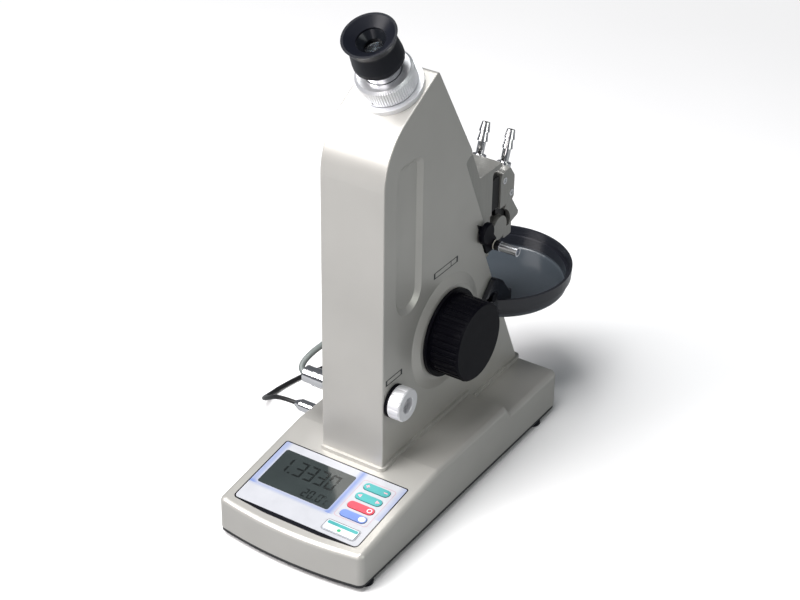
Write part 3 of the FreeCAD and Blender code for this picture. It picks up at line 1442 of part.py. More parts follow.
coilEdges = []
first, firstWay = coilPoint(0)
coilStart = first.sub(firstWay * (2 * leadRadius))
coilEdges.append(Part.LineSegment(coilStart, first).toShape())
for index in range(2 * halfTurns + 1):
    p0, t0 = coilPoint(index)
    p1, t1 = coilPoint(index + 1)
    coilEdges += biarc(p0, t0, p1, t1)
final, finalWay = coilPoint(2 * halfTurns + 1)
coilEnd = final.add(finalWay * (2 * leadRadius))
coilEdges.append(Part.LineSegment(final, coilEnd).toShape())
coilPath = Part.Wire(coilEdges)
coilCircle = Part.Wire(Part.Circle(coilStart, firstWay, leadRadius).toShape())
coil = coilPath.makePipeShell([coilCircle], True, False)
coilLength = sum(e.Length for e in coilEdges)
print("coil length", round(coilLength, 1),
      "volume ratio", round(coil.Volume / (math.pi * leadRadius ** 2 * coilLength), 2))
save("power_coil", coil)

plugBack = leadX - leadBodyLength
leadStart = at(plugBack - leadTaper, leadSocketY, leadSocketZ)
# Offsets from the socket to the floor, then from the coil's start back up the floor
leadOffsets = [(-14.0, 0, 0), (-26.0, 3.0, -8.0), (-35.5, 11.0, -16.5), (-40.0, 23.0, -22.4),
               (-39.5, 38.0, -23.3)]
floorOffsets = [(-39.94, -91.0), (-30.94, -69.0), (-17.94, -49.0), (-5.94, -33.0), (0, -16.0)]
leadRoute = [leadStart] + [leadStart.add(at(*offset)) for offset in leadOffsets]
leadRoute += [coilStart.add(at(x, y, 0)) for x, y in floorOffsets] + [coilStart]
save("power_lead", cordTube("power lead", leadRoute, leadRadius))
save("lead_plugs", leadPlug(leadStart, at(1, 0, 0)), leadPlug(coilEnd, finalWay))

sensorStart = at(plugX, sensorY, sensorZ)
sensorEnd = at(-unitHalf - glandLength, glandY, glandZ)
lowerOffsets = [(-2.2, 0, 0), (-4.3, 0.9, 0.9), (-5.4, 2.6, 2.5), (-5.3, 5.5, 4.8), (-4.3, 12.0, 7.4),
                (-3.0, 21.0, 8.6), (-1.0, 33.0, 10.5), (1.0, 45.0, 17.0)]
upperOffsets = [(-20.5, -35.0, -47.5), (-20.0, -24.0, -32.0), (-19.0, -13.0, -17.5), (-16.5, -4.0, -5.5),
                (-9.0, 0, 0)]
sensorRoute = [sensorStart] + [sensorStart.add(at(*offset)) for offset in lowerOffsets]
sensorRoute += [sensorEnd.add(at(*offset)) for offset in upperOffsets] + [sensorEnd]
save("sensor_lead", cordTube("sensor lead", sensorRoute, sensorCord))
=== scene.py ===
import math

import bmesh
import bpy
from mathutils import Matrix, Vector


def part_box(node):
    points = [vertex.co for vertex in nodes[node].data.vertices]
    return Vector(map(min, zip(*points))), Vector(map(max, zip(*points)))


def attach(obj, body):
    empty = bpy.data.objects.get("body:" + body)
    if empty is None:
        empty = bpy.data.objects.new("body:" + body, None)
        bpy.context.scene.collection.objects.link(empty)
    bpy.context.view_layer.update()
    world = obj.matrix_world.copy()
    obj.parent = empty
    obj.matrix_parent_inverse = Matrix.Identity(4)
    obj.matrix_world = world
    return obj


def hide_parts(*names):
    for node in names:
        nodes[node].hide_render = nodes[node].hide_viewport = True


# Digital Abbe refractometer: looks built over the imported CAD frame, in metres.

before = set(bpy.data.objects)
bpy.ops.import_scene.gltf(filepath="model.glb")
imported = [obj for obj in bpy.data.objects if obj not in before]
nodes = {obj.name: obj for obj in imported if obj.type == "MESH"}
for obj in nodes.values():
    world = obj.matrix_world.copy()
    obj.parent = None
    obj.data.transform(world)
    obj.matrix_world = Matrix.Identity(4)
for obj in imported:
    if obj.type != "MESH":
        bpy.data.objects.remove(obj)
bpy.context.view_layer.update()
print("frame loaded with", len(nodes), "nodes")

mm = 0.001
topSlope = math.radians(29.0)  # the top, and with it the eyepiece, leans forward
axisUp = Vector((0, -math.sin(topSlope), math.cos(topSlope)))
across = Vector((1, 0, 0))
rowMiddle = 139.0  # Y of the frame's origin, measured back from the base's front corners
slope = {"front": 26.9, "back": 38.5, "depth": 83.0}  # heights and depth of the base's sloping top
panelSlope = math.atan((slope["back"] - slope["front"]) / slope["depth"])
black = (0, 0, 0, 1)
white = (1, 1, 1, 1)


# Node tools: a Socket is one output, and a NodeTree makes nodes in a material or a world
class Socket:
    def __init__(self, tree, socket):
        self.tree = tree
        self.socket = socket

    def math(self, kind, other, swapped=False):
        first, second = (other, self) if swapped else (self, other)
        return self.tree.make("ShaderNodeMath", {0: first, 1: second}, operation=kind)

    def __add__(self, other):
        return self.math("ADD", other)

    def __radd__(self, other):
        return self.math("ADD", other, True)

    def __sub__(self, other):
        return self.math("SUBTRACT", other)

    def __rsub__(self, other):
        return self.math("SUBTRACT", other, True)

    def __mul__(self, other):
        return self.math("MULTIPLY", other)

    def __rmul__(self, other):
        return self.math("MULTIPLY", other, True)

    def __truediv__(self, other):
        return self.math("DIVIDE", other)

    def __pow__(self, other):
        return self.math("POWER", other)

    def over(self, limit):
        return self.math("GREATER_THAN", limit)

    def under(self, limit):
        return self.math("LESS_THAN", limit)

    def size(self):
        return self.math("ABSOLUTE", 0.0)

    def limited(self):
        return self.math("MAXIMUM", 0.0).math("MINIMUM", 1.0)


class NodeTree:
    def __init__(self, owner):
        owner.use_nodes = True
        self.nodes = owner.node_tree.nodes
        self.links = owner.node_tree.links

    def make(self, kind, inputs, output=0, stops=(), **settings):
        node = self.nodes.new(kind)
        for key, value in settings.items():
            setattr(node, key, value)
        if stops:
            elements = node.color_ramp.elements
            while len(elements) < len(stops):
                elements.new(0.5)
            for element, (position, colour) in zip(elements, stops):
                element.position = position
                element.color = (*colour, 1)
        for key, value in inputs.items():
            if isinstance(value, Socket):
                self.links.new(value.socket, node.inputs[key])
            else:
                node.inputs[key].default_value = value
        return Socket(self, node.outputs[output] if node.outputs else None)


class Look(NodeTree):
    def __init__(self, name, **constants):
        self.material = bpy.data.materials.new(name)
        super().__init__(self.material)
        self.shader = self.nodes["Principled BSDF"]
        for key, value in constants.items():
            self.shader.inputs[key.replace("_", " ")].default_value = value
        self.place = self.make("ShaderNodeTexCoord", {}, output="Object")

    def noise(self, scale, detail=3.0, place=None):
        return self.make("ShaderNodeTexNoise", {"Vector": place or self.place, "Scale": scale, "Detail": detail})

    def axis(self, letter):
        return self.make("ShaderNodeSeparateXYZ", {0: self.place}, output=letter)

    def blended(self, factor, first, second):
        return self.make("ShaderNodeMix", {0: factor, 6: first, 7: second}, output=2, data_type="RGBA")

    def stretched(self, *scale):
        return self.make("ShaderNodeMapping", {"Vector": self.place, "Scale": scale})

    # A noise turned into a colour between a dark and a light one
    def colours(self, factor, dark, light):
        return self.make("ShaderNodeValToRGB", {0: factor}, stops=((0.3, dark), (0.7, light)))

    def set(self, **values):
        for key, value in values.items():
            self.links.new(value.socket, self.shader.inputs[key.replace("_", " ")])

    def bump(self, height, strength, distance):
        self.set(Normal=self.make("ShaderNodeBump", {"Height": height, "Strength": strength, "Distance": distance}))

    # Roughness that wanders by the given amount round a middle value
    def rough(self, noise, amount, middle):
        self.set(Roughness=noise * amount + (middle - amount / 2))


def shade(colour, share):
    return tuple(channel * share for channel in colour)


def paint(name, colour, metallic, roughness, grain=900.0, depth=0.03 * mm):
    look = Look(name, Metallic=metallic)
    look.set(Base_Color=look.colours(look.noise(18.0), shade(colour, 0.95), shade(colour, 1.04)))
    look.rough(look.noise(45.0), 0.10, roughness)
    look.bump(look.noise(grain, 2.0), 0.35, depth)
    return look.material


def brushed(name, colour, roughness, *scale):
    look = Look(name, Metallic=1.0)
    streaks = look.noise(1.0, 4.0, look.stretched(*scale))
    look.set(Base_Color=look.colours(streaks, shade(colour, 0.88), colour))
    look.rough(streaks, 0.16, roughness)
    look.bump(streaks, 0.25, 0.02 * mm)
    return look.material


def polish(name, colour, roughness):
    look = Look(name, Metallic=1.0)
    look.set(Base_Color=look.colours(look.noise(60.0), shade(colour, 0.96), colour))
    look.rough(look.noise(140.0), 0.06, roughness)
    look.bump(look.noise(300.0), 0.06, 0.02 * mm)
    return look.material


def plastic(name, colour, roughness, coat=0.0, grain=1500.0, depth=0.02 * mm, shine=0.3):
    look = Look(name, Coat_Weight=coat, Coat_Roughness=0.12, Specular_IOR_Level=shine)
    look.set(Base_Color=look.colours(look.noise(35.0), shade(colour, 0.85), shade(colour, 1.12)))
    look.rough(look.noise(90.0), 0.12, roughness)
    look.bump(look.noise(grain, 2.0), 0.3, depth)
    return look.material


def glass(name, colour, roughness=0.02):
    look = Look(name, Transmission_Weight=1.0, IOR=1.5)
    look.set(Base_Color=look.colours(look.noise(20.0), shade(colour, 0.97), colour))
    look.set(Roughness=look.noise(50.0) * 0.02 + roughness)
    return look.material


bodyPaint = paint("satin silver paint", (0.50, 0.49, 0.46), 0.5, 0.38)
aluminium = brushed("turned aluminium", (0.86, 0.87, 0.88), 0.26, 700.0, 60.0, 60.0)
nickel = polish("polished nickel", (0.82, 0.82, 0.83), 0.12)
steel = brushed("ground steel", (0.58, 0.58, 0.59), 0.3, 900.0, 60.0, 60.0)
brass = brushed("turned brass", (0.72, 0.56, 0.27), 0.28, 700.0, 60.0, 60.0)
blackGloss = plastic("black glossy plastic", (0.006, 0.0065, 0.009), 0.22, 0.3)
blackSatin = plastic("black satin plastic", (0.0025, 0.0025, 0.005), 0.38, shine=0.08)
blackPaint = paint("black lacquer", (0.015, 0.015, 0.017), 0.0, 0.4)
rubber = plastic("black rubber", (0.005, 0.006, 0.010), 0.34, 0.0, 700.0, 0.05 * mm, 0.2)
board = plastic("green board lacquer", (0.012, 0.13, 0.05), 0.35, 0.3)
lensGlass = glass("coated lens glass", (0.85, 0.92, 0.97))
prismGlass = paint("blackened prism glass", (0.003, 0.003, 0.003), 0.0, 0.55)
mirrorSilver = polish("silvered mirror", (0.9, 0.9, 0.9), 0.04)
satinSilver = paint("satin turned silver", (0.76, 0.77, 0.79), 0.7, 0.30, 1200.0, 0.01 * mm)

# Satin metal of the prism unit, with painted shade in the hollow round the hinge: near-black, less metallic walls
# between the knuckles
hinge = {"hollowOuter": 12.7, "hollowInner": 8.25, "hollowHalfWidth": 16.9}


def prismLook():
    look = Look("satin prism metal")
    grain = look.noise(1.0, 4.0, look.stretched(60.0, 900.0, 60.0))
    metal = look.colours(grain, (0.33, 0.325, 0.305), (0.39, 0.385, 0.36))
    low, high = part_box("hinge_pin")
    centre = (low + high) / 2
    back = look.axis("Y") - centre.y
    rise = look.axis("Z") - centre.z
    away = back * back + rise * rise
    around = away.under((hinge["hollowOuter"] * mm) ** 2) * away.over((hinge["hollowInner"] * mm) ** 2)
    hollowShade = around * look.axis("X").size().under(hinge["hollowHalfWidth"] * mm)
    # Painted shade: the hollow between the knuckles is painted near-black and less metallic
    look.set(Base_Color=look.blended(hollowShade, metal, (0.004, 0.004, 0.004, 1)), Metallic=0.6 - 0.6 * hollowShade)
    look.set(Roughness=grain * 0.14 + 0.33)
    look.bump(grain, 0.2, 0.02 * mm)
    return look.material


# Turned metal that is blackened beyond a distance along the eyepiece axis
barrel = {"brightTo": 26.0}


def barrelLook():
    look = Look("eyepiece barrel")
    low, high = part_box("eyepiece_flange")
    start = (low + high) / 2
    along = (look.axis("Y") - start.y) * axisUp.y + (look.axis("Z") - start.z) * axisUp.z
    dark = along.over(barrel["brightTo"] * mm)
    grain = look.noise(900.0)
    bright = look.colours(grain, (0.72, 0.73, 0.75), (0.86, 0.87, 0.89))
    look.set(Base_Color=look.blended(dark, bright, (0.012, 0.014, 0.018, 1)), Metallic=1.0 - 0.6 * dark)
    look.set(Roughness=grain * 0.08 + 0.16)
    look.bump(grain, 0.05, 0.01 * mm)
    return look.material


# Chromed probe with a black collar that has a pale band, a painted highlight on the collar's edge
probe = {"highlightStart": 23.9, "highlightEnd": 24.7, "collarEnd": 28.3}


def probeLook():
    look = Look("temperature probe")
    x = look.axis("X")
    band = x.over(probe["highlightStart"] * mm) * x.under(probe["highlightEnd"] * mm)
    collar = x.under(probe["collarEnd"] * mm)
    # Painted highlight: the pale band on the black collar
    collarColour = look.blended(band, (0.006, 0.006, 0.008, 1), (0.62, 0.60, 0.52, 1))
    grain = look.noise(1.0, 4.0, look.stretched(60.0, 800.0, 800.0))
    bright = look.colours(grain, (0.78, 0.80, 0.84), (0.90, 0.91, 0.94))
    look.set(Base_Color=look.blended(collar, bright, collarColour), Metallic=1.0 - collar)
    look.set(Roughness=grain * 0.08 + 0.18)
    look.bump(grain, 0.08, 0.01 * mm)
    return look.material


# Black plastic whose floor is painted paler and bluer than its wall, a painted reflection of the surroundings
tray = {"floorTop": 80.5, "fade": 2.5}


def trayLook():
    look = Look("drip tray plastic", Coat_Weight=0.4, Coat_Roughness=0.1)
    rise = ((look.axis("Z") / mm - tray["floorTop"]) / tray["fade"]).limited()
    wall = look.colours(look.noise(30.0), (0.010, 0.011, 0.016), (0.014, 0.015, 0.021))
    # Painted reflection: the floor below floorTop is painted pale grey-blue
    look.set(Base_Color=look.blended(rise, (0.068, 0.082, 0.096, 1), wall))
    look.set(Roughness=look.noise(60.0) * 0.1 + 0.2)
    look.bump(look.noise(1200.0, 2.0), 0.2, 0.01 * mm)
    return look.material


prismMetal = prismLook()
looks = {
    bodyPaint: ("base_casting", "column_housing", "rear_cover"),
    blackPaint: ("base_plate", "telescope_tube"),
    blackGloss: ("display_bezel",),
    blackSatin: ("lcd_module", "compensator_bush", "measuring_knob", "encoder_reader", "prism_lock_knob",
                 "tray_pegs", "panel_sockets", "hinge_side_cover"),
    rubber: ("rubber_feet", "compensator_belt", "eyecup"),
    board: ("display_board", "main_board"),
    steel: ("housing_screws", "optics_chassis", "compensator_shaft", "measuring_shaft", "encoder_disc", "hinge_pin"),
    brass: ("upper_compensator_cell", "lower_compensator_cell", "compensator_pinion", "mirror_sector",
            "measuring_bush"),
    aluminium: ("compensator_knob", "diopter_ring", "holder_screws"),
    nickel: ("hose_nipples", "lead_plugs", "sensor_plug"),
    satinSilver: ("eyepiece_flange",),
    lensGlass: ("objective_lens", "reticle", "upper_amici_prism", "lower_amici_prism", "eyepiece_lenses",
                "secondary_prism"),
    prismGlass: ("main_prism",),
    mirrorSilver: ("measuring_mirror",),
    prismMetal: ("main_prism_housing", "secondary_prism_holder"),
    barrelLook(): ("eyepiece_barrel",),
    probeLook(): ("temperature_probe",),
    trayLook(): ("drip_tray",),
}


def dress(thing, material):
    thing.data.materials.clear()
    thing.data.materials.append(material)


for material, names in looks.items():
    for name in names:
        dress(nodes[name], material)
print("nodes dressed")


# From millimetres measured at the base's front corners to the shared frame in metres
def row(x, y, z):
    return Vector((x, y - rowMiddle, z)) * mm


# A point U along the panel, V up its slope and W out of it
def panelPoint(u, v, w):
    along = Vector((0, math.cos(panelSlope), math.sin(panelSlope)))
    out = Vector((0, -math.sin(panelSlope), math.cos(panelSlope)))
    return row(u, 0, slope["front"]) + (along * v + out * w) * mm


def addThing(name, data, material, body, *replaced):
    thing = bpy.data.objects.new(name, data)
    bpy.context.scene.collection.objects.link(thing)
    dress(thing, material)
    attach(thing, body)
    if replaced:
        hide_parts(*replaced)
    return thing


def meshFrom(shapes, name):
    bmesh.ops.recalc_face_normals(shapes, faces=shapes.faces)
    mesh = bpy.data.meshes.new(name)
    shapes.to_mesh(mesh)
    shapes.free()
    return mesh


printBottom = 0.02  # above the printed face, in millimetres
printTop = 0.07


# Flat printed shapes, given as loops of U and V, and as pairs of an outer and an inner loop for rings
def printed(name, loops, material, body, low=printBottom, high=printTop, rings=(), place=panelPoint):
    shapes = bmesh.new()

    def joined(first, second):
        for i in range(len(first)):
            j = (i + 1) % len(first)
            shapes.faces.new((first[i], first[j], second[j], second[i]))

    def walls(loop):
        bottom = [shapes.verts.new(place(u, v, low)) for u, v in loop]
        top = [shapes.verts.new(place(u, v, high)) for u, v in loop]
        joined(bottom, top)
        return bottom, top

    for loop in loops:
        bottom, top = walls(loop)
        shapes.faces.new(top)
        shapes.faces.new(bottom[::-1])
    for outer, inner in rings:
        for outerSide, innerSide in zip(walls(outer), walls(inner)):
            joined(outerSide, innerSide)
    return addThing(name, meshFrom(shapes, name), material, body)


def roundBox(u0, u1, v0, v1, radius, steps=6):
    loop = []
    corners = ((u1 - radius, v1 - radius, 0), (u0 + radius, v1 - radius, 90),
               (u0 + radius, v0 + radius, 180), (u1 - radius, v0 + radius, 270))
    for u, v, start in corners:
        for k in range(steps + 1):
            turn = math.radians(start + 90 * k / steps)
            loop.append((u + radius * math.cos(turn), v + radius * math.sin(turn)))
    return loop


def ring(u, v, radius, width, steps=24):
    turns = [2 * math.pi * k / steps for k in range(steps)]
    return [[(u + r * math.cos(turn), v + r * math.sin(turn)) for turn in turns] for r in (radius, radius - width)]


def outline(u0, u1, v0, v1, radius, width):
    return [roundBox(u0, u1, v0, v1, radius),
            roundBox(u0 + width, u1 - width, v0 + width, v1 - width, radius - width)]


digitSegments = {"0": "abcdef", "1": "bc", "2": "abged", "3": "abgcd", "C": "afed"}
letterGapShare = 1.3  # of the stroke, as are the point's step and the gap between segments
pointStepShare = 2.2
segmentGapShare = 0.1


# Seven-segment digits with mitred segments that stay apart
def digitLoops(text, u, v, width, height, stroke):
    gap = stroke * segmentGapShare
    half = height / 2
    side = [(0, gap), (stroke, gap + stroke), (stroke, half - gap - stroke), (0, half - gap)]
    end = [(gap, half), (width - gap, half), (width - gap - stroke, half - stroke), (gap + stroke, half - stroke)]
    inner = gap + stroke / 2
    middle = [(gap, 0), (inner, stroke / 2), (width - inner, stroke / 2), (width - gap, 0),
              (width - inner, -stroke / 2), (inner, -stroke / 2)]
    segments = {"a": end, "b": [(width - a, b) for a, b in side], "c": [(width - a, -b) for a, b in side],
                "d": [(a, -b) for a, b in end], "e": [(a, -b) for a, b in side], "f": side, "g": middle}
    loops = []
    for letter in text:
        if letter == ".":
            loops.append([(u, v), (u + stroke, v), (u + stroke, v + stroke), (u, v + stroke)])
            u = u + pointStepShare * stroke
            continue
        loops += [[(u + a, v + half + b) for a, b in segments[segment]] for segment in digitSegments[letter]]
        u = u + width + letterGapShare * stroke
    return loops


# Panel: pale print with soft blue bands, each with its place, its width and its strength
panel = {"paperDark": (0.42, 0.43, 0.46), "paperLight": (0.46, 0.47, 0.50), "band": (0.16, 0.22, 0.44, 1),
         "beside": (13.5, 3.5), "left": (-39.0, 3.0, 0.6), "right": (39.5, 4.0, 0.5), "below": (21.5, 2.5, 0.5),
         "bandsFrom": 21.0, "rightFrom": 30.0, "belowTo": 14.0}


def panelPrint():
    look = Look("printed panel", Coat_Weight=0.2, Coat_Roughness=0.2)
    u = look.axis("X") / mm
    v = (look.axis("Y") / mm + rowMiddle) / math.cos(panelSlope)
    high = v.over(panel["bandsFrom"])
    place, width = panel["beside"]
    beside = (1.0 - (u - place).size() / width).limited() * high
    place, width, leftShare = panel["left"]
    left = ((place - u) / width).limited() * high
    place, width, rightShare = panel["right"]
    right = ((u - place) / width).limited() * v.over(panel["rightFrom"])
    place, width, belowShare = panel["below"]
    below = (1.0 - (v - place).size() / width).limited() * u.under(panel["belowTo"])
    blue = (beside + left * leftShare + right * rightShare + below * belowShare).limited()
    paper = look.colours(look.noise(120.0), panel["paperDark"], panel["paperLight"])
    look.set(Base_Color=look.blended(blue, paper, panel["band"]), Roughness=look.noise(80.0) * 0.1 + 0.33)
    look.bump(look.noise(2500.0, 2.0), 0.2, 0.01 * mm)
    return look.material


inks = {"teal": ((0.06, 0.34, 0.34), 0.4, 0.2), "pink": ((0.80, 0.36, 0.42), 0.4, 0.2),
        "red": ((0.60, 0.06, 0.09), 0.4, 0.2), "blue": ((0.14, 0.22, 0.52), 0.4, 0.2),
        "pale": ((0.70, 0.74, 0.78), 0.4, 0.2), "green": ((0.06, 0.40, 0.20), 0.4, 0.2),
        "dark": ((0.006, 0.008, 0.008), 0.3, 0.3), "line": ((0.50, 0.22, 0.28), 0.4, 0.2)}
ink = {name: plastic(name + " print", *values) for name, values in inks.items()}
dress(nodes["keypad_panel"], panelPrint())
dress(nodes["lcd_window"], plastic("display glass", (0.030, 0.038, 0.038), 0.16, 0.6, 300.0, 0.005 * mm))
dress(nodes["start_key"], ink["pale"])

# Keys and their plain marks: the place of each key along V, its ink and the middles of its two marks along U
keys = {"plus_minus": (51.1, "teal"), "left_right": (42.2, "teal"), "select": (33.9, "red"), "mode": (25.8, "blue")}
marks = {"left": 22.2, "right": 34.9, "bar": 1.3, "stroke": 0.35, "corner": 0.2, "back": 1.1, "point": 1.5,
         "ring": (34.7, 1.7, 0.5), "pill": (32.4, 36.9, 2.0, 1.9)}
keyFace = 0.5


def minus(u, v):
    return roundBox(u - marks["bar"], u + marks["bar"], v - marks["stroke"], v + marks["stroke"], marks["corner"])


def plus(u, v):
    long, short = marks["bar"], marks["stroke"]
    quarter = ((long, short), (short, short), (short, long))
    turns = ((1, 0, 0, 1), (0, -1, 1, 0), (-1, 0, 0, -1), (0, 1, -1, 0))
    return [(u + a * i + b * j, v + a * k + b * m) for i, j, k, m in turns for a, b in quarter]


def triangle(u, v, side):
    return [(u - side * marks["back"], v - marks["bar"]), (u + side * marks["point"], v),
            (u - side * marks["back"], v + marks["bar"])]


def keyMarks(key, v):
    left, right = marks["left"], marks["right"]
    if key == "plus_minus":
        return [(key + "-mark-0", [plus(left, v)], "pink", ()), (key + "-mark-1", [minus(right, v)], "pink", ())]
    if key == "left_right":
        return [(key + "-mark-0", [triangle(left, v, -1)], "pink", ()),
                (key + "-mark-1", [triangle(right, v, 1)], "pink", ())]
    if key == "select":
        u, radius, width = marks["ring"]
        return [("select-mark", [], "pale", [ring(u, v, radius, width)])]
    start, end, reach, corner = marks["pill"]
    return [("mode-mark", [roundBox(start, end, v - reach, v + reach, corner)], "pale", ())]


for key, (v, keyInk) in keys.items():
    node = key + "_key"
    dress(nodes[node], ink[keyInk])
    for name, loops, markInk, rings in keyMarks(key, v):
        printed(name, loops, ink[markInk], node, keyFace + printBottom, keyFace + printTop, rings)

# Marks of the start key, then thin lines round the two fields of keys: bounds along U and V, corner and line width
startMarks = {"start-header": ("teal", (17.9, 39.0, 13.9, 16.3, 0.6)),
              "start-lamp": ("green", (26.8, 29.2, 10.4, 12.7, 1.1))}
fieldLines = {"key-field-line": ("line", (16.7, 40.1, 21.6, 55.6, 2.0, 0.22)),
              "start-field-line": ("dark", (16.4, 40.5, 8.3, 17.7, 2.0, 0.22))}
for name, (markInk, shape) in startMarks.items():
    printed(name, [roundBox(*shape)], ink[markInk], "start_key", keyFace + printBottom, keyFace + printTop)
for name, (lineInk, shape) in fieldLines.items():
    printed(name, [], ink[lineInk], "base", rings=[outline(*shape)])

# Display: a reading above a temperature in degrees, thinner than the other print
display = {"reading": ("1.3330", -36.0, 37.0, 6.1, 12.8, 1.35), "temperature": ("20.0", -10.0, 25.0, 3.3, 7.0, 0.8),
           "unit": ("C", 6.6, 25.0, 2.4, 4.4, 0.6), "ring": (4.6, 31.2, 0.9, 0.35, 12), "top": 0.05}
digits = digitLoops(*display["reading"]) + digitLoops(*display["temperature"]) + digitLoops(*display["unit"])
printed("display-digits", digits, ink["dark"], "base", printBottom, display["top"], [ring(*display["ring"])])
print("panel printed")


# Cords repeat the CAD routes
def smoothCord(name, points, diameter, material, *replaced):
    curve = bpy.data.curves.new(name, "CURVE")
    curve.dimensions = "3D"
    curve.bevel_depth = diameter / 2
    curve.bevel_resolution = 6
    curve.resolution_u = 12
    spline = curve.splines.new("NURBS")
    spline.points.add(len(points) - 1)
    for control, point in zip(spline.points, points):
        control.co = (*point, 1)
    spline.order_u = 3
    spline.use_endpoint_u = True
    return addThing(name, curve, material, "base", *replaced)


# The power lead runs down to the bench and lies in a coil of two layers, inwards and back out
lead = {"diameter": 3.0, "length": 0.965, "floor": 1.6, "coilX": -44.0, "coilY": 262.0, "turns": 3.5,
        "middle": 16.8, "pitch": 4.15, "layer": 4.15, "stepsPerTurn": 24}
coilOuter = lead["middle"] + lead["pitch"] * lead["turns"] / 2


def coilRoute():
    points = []
    perTurn = lead["stepsPerTurn"]
    climbStart = lead["turns"] * perTurn
    climbEnd = climbStart + perTurn / 2
    for k in range(int((2 * lead["turns"] + 0.5) * perTurn) + 1):
        inwards = min(k, climbStart) - max(k - climbEnd, 0)
        away = coilOuter - lead["pitch"] * inwards / perTurn
        climb = min(max((k - climbStart) / (climbEnd - climbStart), 0), 1)
        turn = math.pi - 2 * math.pi * k / perTurn
        points.append(row(lead["coilX"] + away * math.cos(turn), lead["coilY"] + away * math.sin(turn),
                          lead["floor"] + lead["layer"] * climb))
    return points


floorRoute = [(-108.0, 168.0), (-99.0, 190.0), (-86.0, 210.0), (-74.0, 226.0), (lead["coilX"] - coilOuter, 243.0)]
leadRoute = [(-73.0, 109.0, 25.0), (-87.0, 109.0, 25.0), (-99.0, 112.0, 17.0), (-108.5, 120.0, 8.5),
             (-113.0, 132.0, 2.6), (-112.5, 147.0, 1.7)] + [(x, y, lead["floor"]) for x, y in floorRoute]
coilEnd = row(lead["coilX"] + coilOuter, lead["coilY"] - lead["diameter"], lead["floor"] + lead["layer"])
leadPoints = [row(*point) for point in leadRoute] + coilRoute() + [coilEnd]
cableJacket = plastic("black cable jacket", (0.012, 0.012, 0.013), 0.38, 0.1)
leadDiameter = lead["diameter"] * mm
powerLead = smoothCord("power-lead-and-coil", leadPoints, leadDiameter, cableJacket, "power_lead", "power_coil")

# The sensor lead runs from the plug at the column's left side up to the prism unit
sensor = {"diameter": 4.0, "length": 0.1415, "start": Vector((-50.0, 89.0, 67.5)), "end": Vector((-27.0, 180.0, 146.0))}
fromStart = [(0, 0, 0), (-2.2, 0, 0), (-4.3, 0.9, 0.9), (-5.4, 2.6, 2.5), (-5.3, 5.5, 4.8), (-4.3, 12.0, 7.4),
             (-3.0, 21.0, 8.6), (-1.0, 33.0, 10.5), (1.0, 45.0, 17.0)]
fromEnd = [(-20.5, -35.0, -47.5), (-20.0, -24.0, -32.0), (-19.0, -13.0, -17.5), (-16.5, -4.0, -5.5), (-9.0, 0, 0),
           (0, 0, 0)]
sensorPoints = [row(*(sensor["start"] + Vector(offset))) for offset in fromStart]
sensorPoints += [row(*(sensor["end"] + Vector(offset))) for offset in fromEnd]
sleeve = plastic("grey silicone sleeve", (0.16, 0.18, 0.175), 0.4, 0.1)
sensorDiameter = sensor["diameter"] * mm
sensorLead = smoothCord("sensor-lead", sensorPoints, sensorDiameter, sleeve, "sensor_lead")
print("cords laid")


# A point round an axis, its distances in millimetres
def aroundAxis(origin, axis, radius, distance, turn):
    side = axis.orthogonal().normalized() if axis == across else across
    around = side * math.cos(turn) + axis.cross(side) * math.sin(turn)
    return origin + (around * radius + axis * distance) * mm


# A turned piece whose profile, as pairs of radius and distance, has grooves sunk at the points named in sunk
def groovedPiece(name, origin, axis, profile, grooves, depth, sunk, steps):
    shapes = bmesh.new()
    columns = []
    for k in range(grooves * steps):
        turn = 2 * math.pi * k / (grooves * steps)
        dip = depth * (1 - math.sqrt(abs(math.sin(math.pi * k / steps))))
        columns.append([shapes.verts.new(aroundAxis(origin, axis, r - (dip if i in sunk else 0), s, turn))
                        for i, (r, s) in enumerate(profile)])
    for k in range(len(columns)):
        here = columns[k]
        after = columns[(k + 1) % len(columns)]
        for i in range(len(profile)):
            n = (i + 1) % len(profile)
            shapes.faces.new((here[i], after[i], after[n], here[n]))
    return meshFrom(shapes, name)


# Dioptre ring with fine grooves and an index mark at its front
dioptre = {"radius": 17.35, "inner": 12.6, "bore": 11.2, "bottom": 3.35, "groovesFrom": 4.6, "groovesTo": 12.2,
           "edge": 13.4, "top": 15.2, "shoulder": 8.4, "chamfer": 0.45, "crown": 15.7, "grooves": 72, "depth": 0.4,
           "steps": 6}
index = {"inner": 16.6, "middle": 5.4, "height": 1.8, "turn": 0.11}
flange = {"depth": 104.2, "apexHeight": 280.3, "beforeApex": 16.6}  # where the eyepiece's axis leaves the column
ringAxis = row(0, flange["depth"], flange["apexHeight"] - flange["beforeApex"] * math.tan(topSlope))
radius, chamfer = dioptre["radius"], dioptre["chamfer"]
ringProfile = [(dioptre["inner"], dioptre["bottom"]), (radius - chamfer, dioptre["bottom"]),
               (radius, dioptre["bottom"] + chamfer), (radius, dioptre["groovesFrom"]),
               (radius, dioptre["groovesTo"]), (radius, dioptre["edge"]), (dioptre["crown"], dioptre["top"]),
               (dioptre["bore"], dioptre["top"]), (dioptre["bore"], dioptre["shoulder"]),
               (dioptre["inner"], dioptre["shoulder"])]
ringMesh = groovedPiece("dioptre-grooves", ringAxis, axisUp, ringProfile, dioptre["grooves"], dioptre["depth"],
                        (2, 3, 4, 5), dioptre["steps"])
addThing("dioptre-grooves", ringMesh, satinSilver, "diopter", "diopter_ring")

shapes = bmesh.new()
for vertex in bmesh.ops.create_cube(shapes, size=1.0)["verts"]:
    corner = vertex.co
    vertex.co = aroundAxis(ringAxis, axisUp, radius if corner.y > 0 else index["inner"],
                           index["middle"] + corner.z * index["height"], corner.x * index["turn"] - math.pi / 2)
addThing("dioptre-index", meshFrom(shapes, "dioptre-index"), ink["dark"], "diopter")

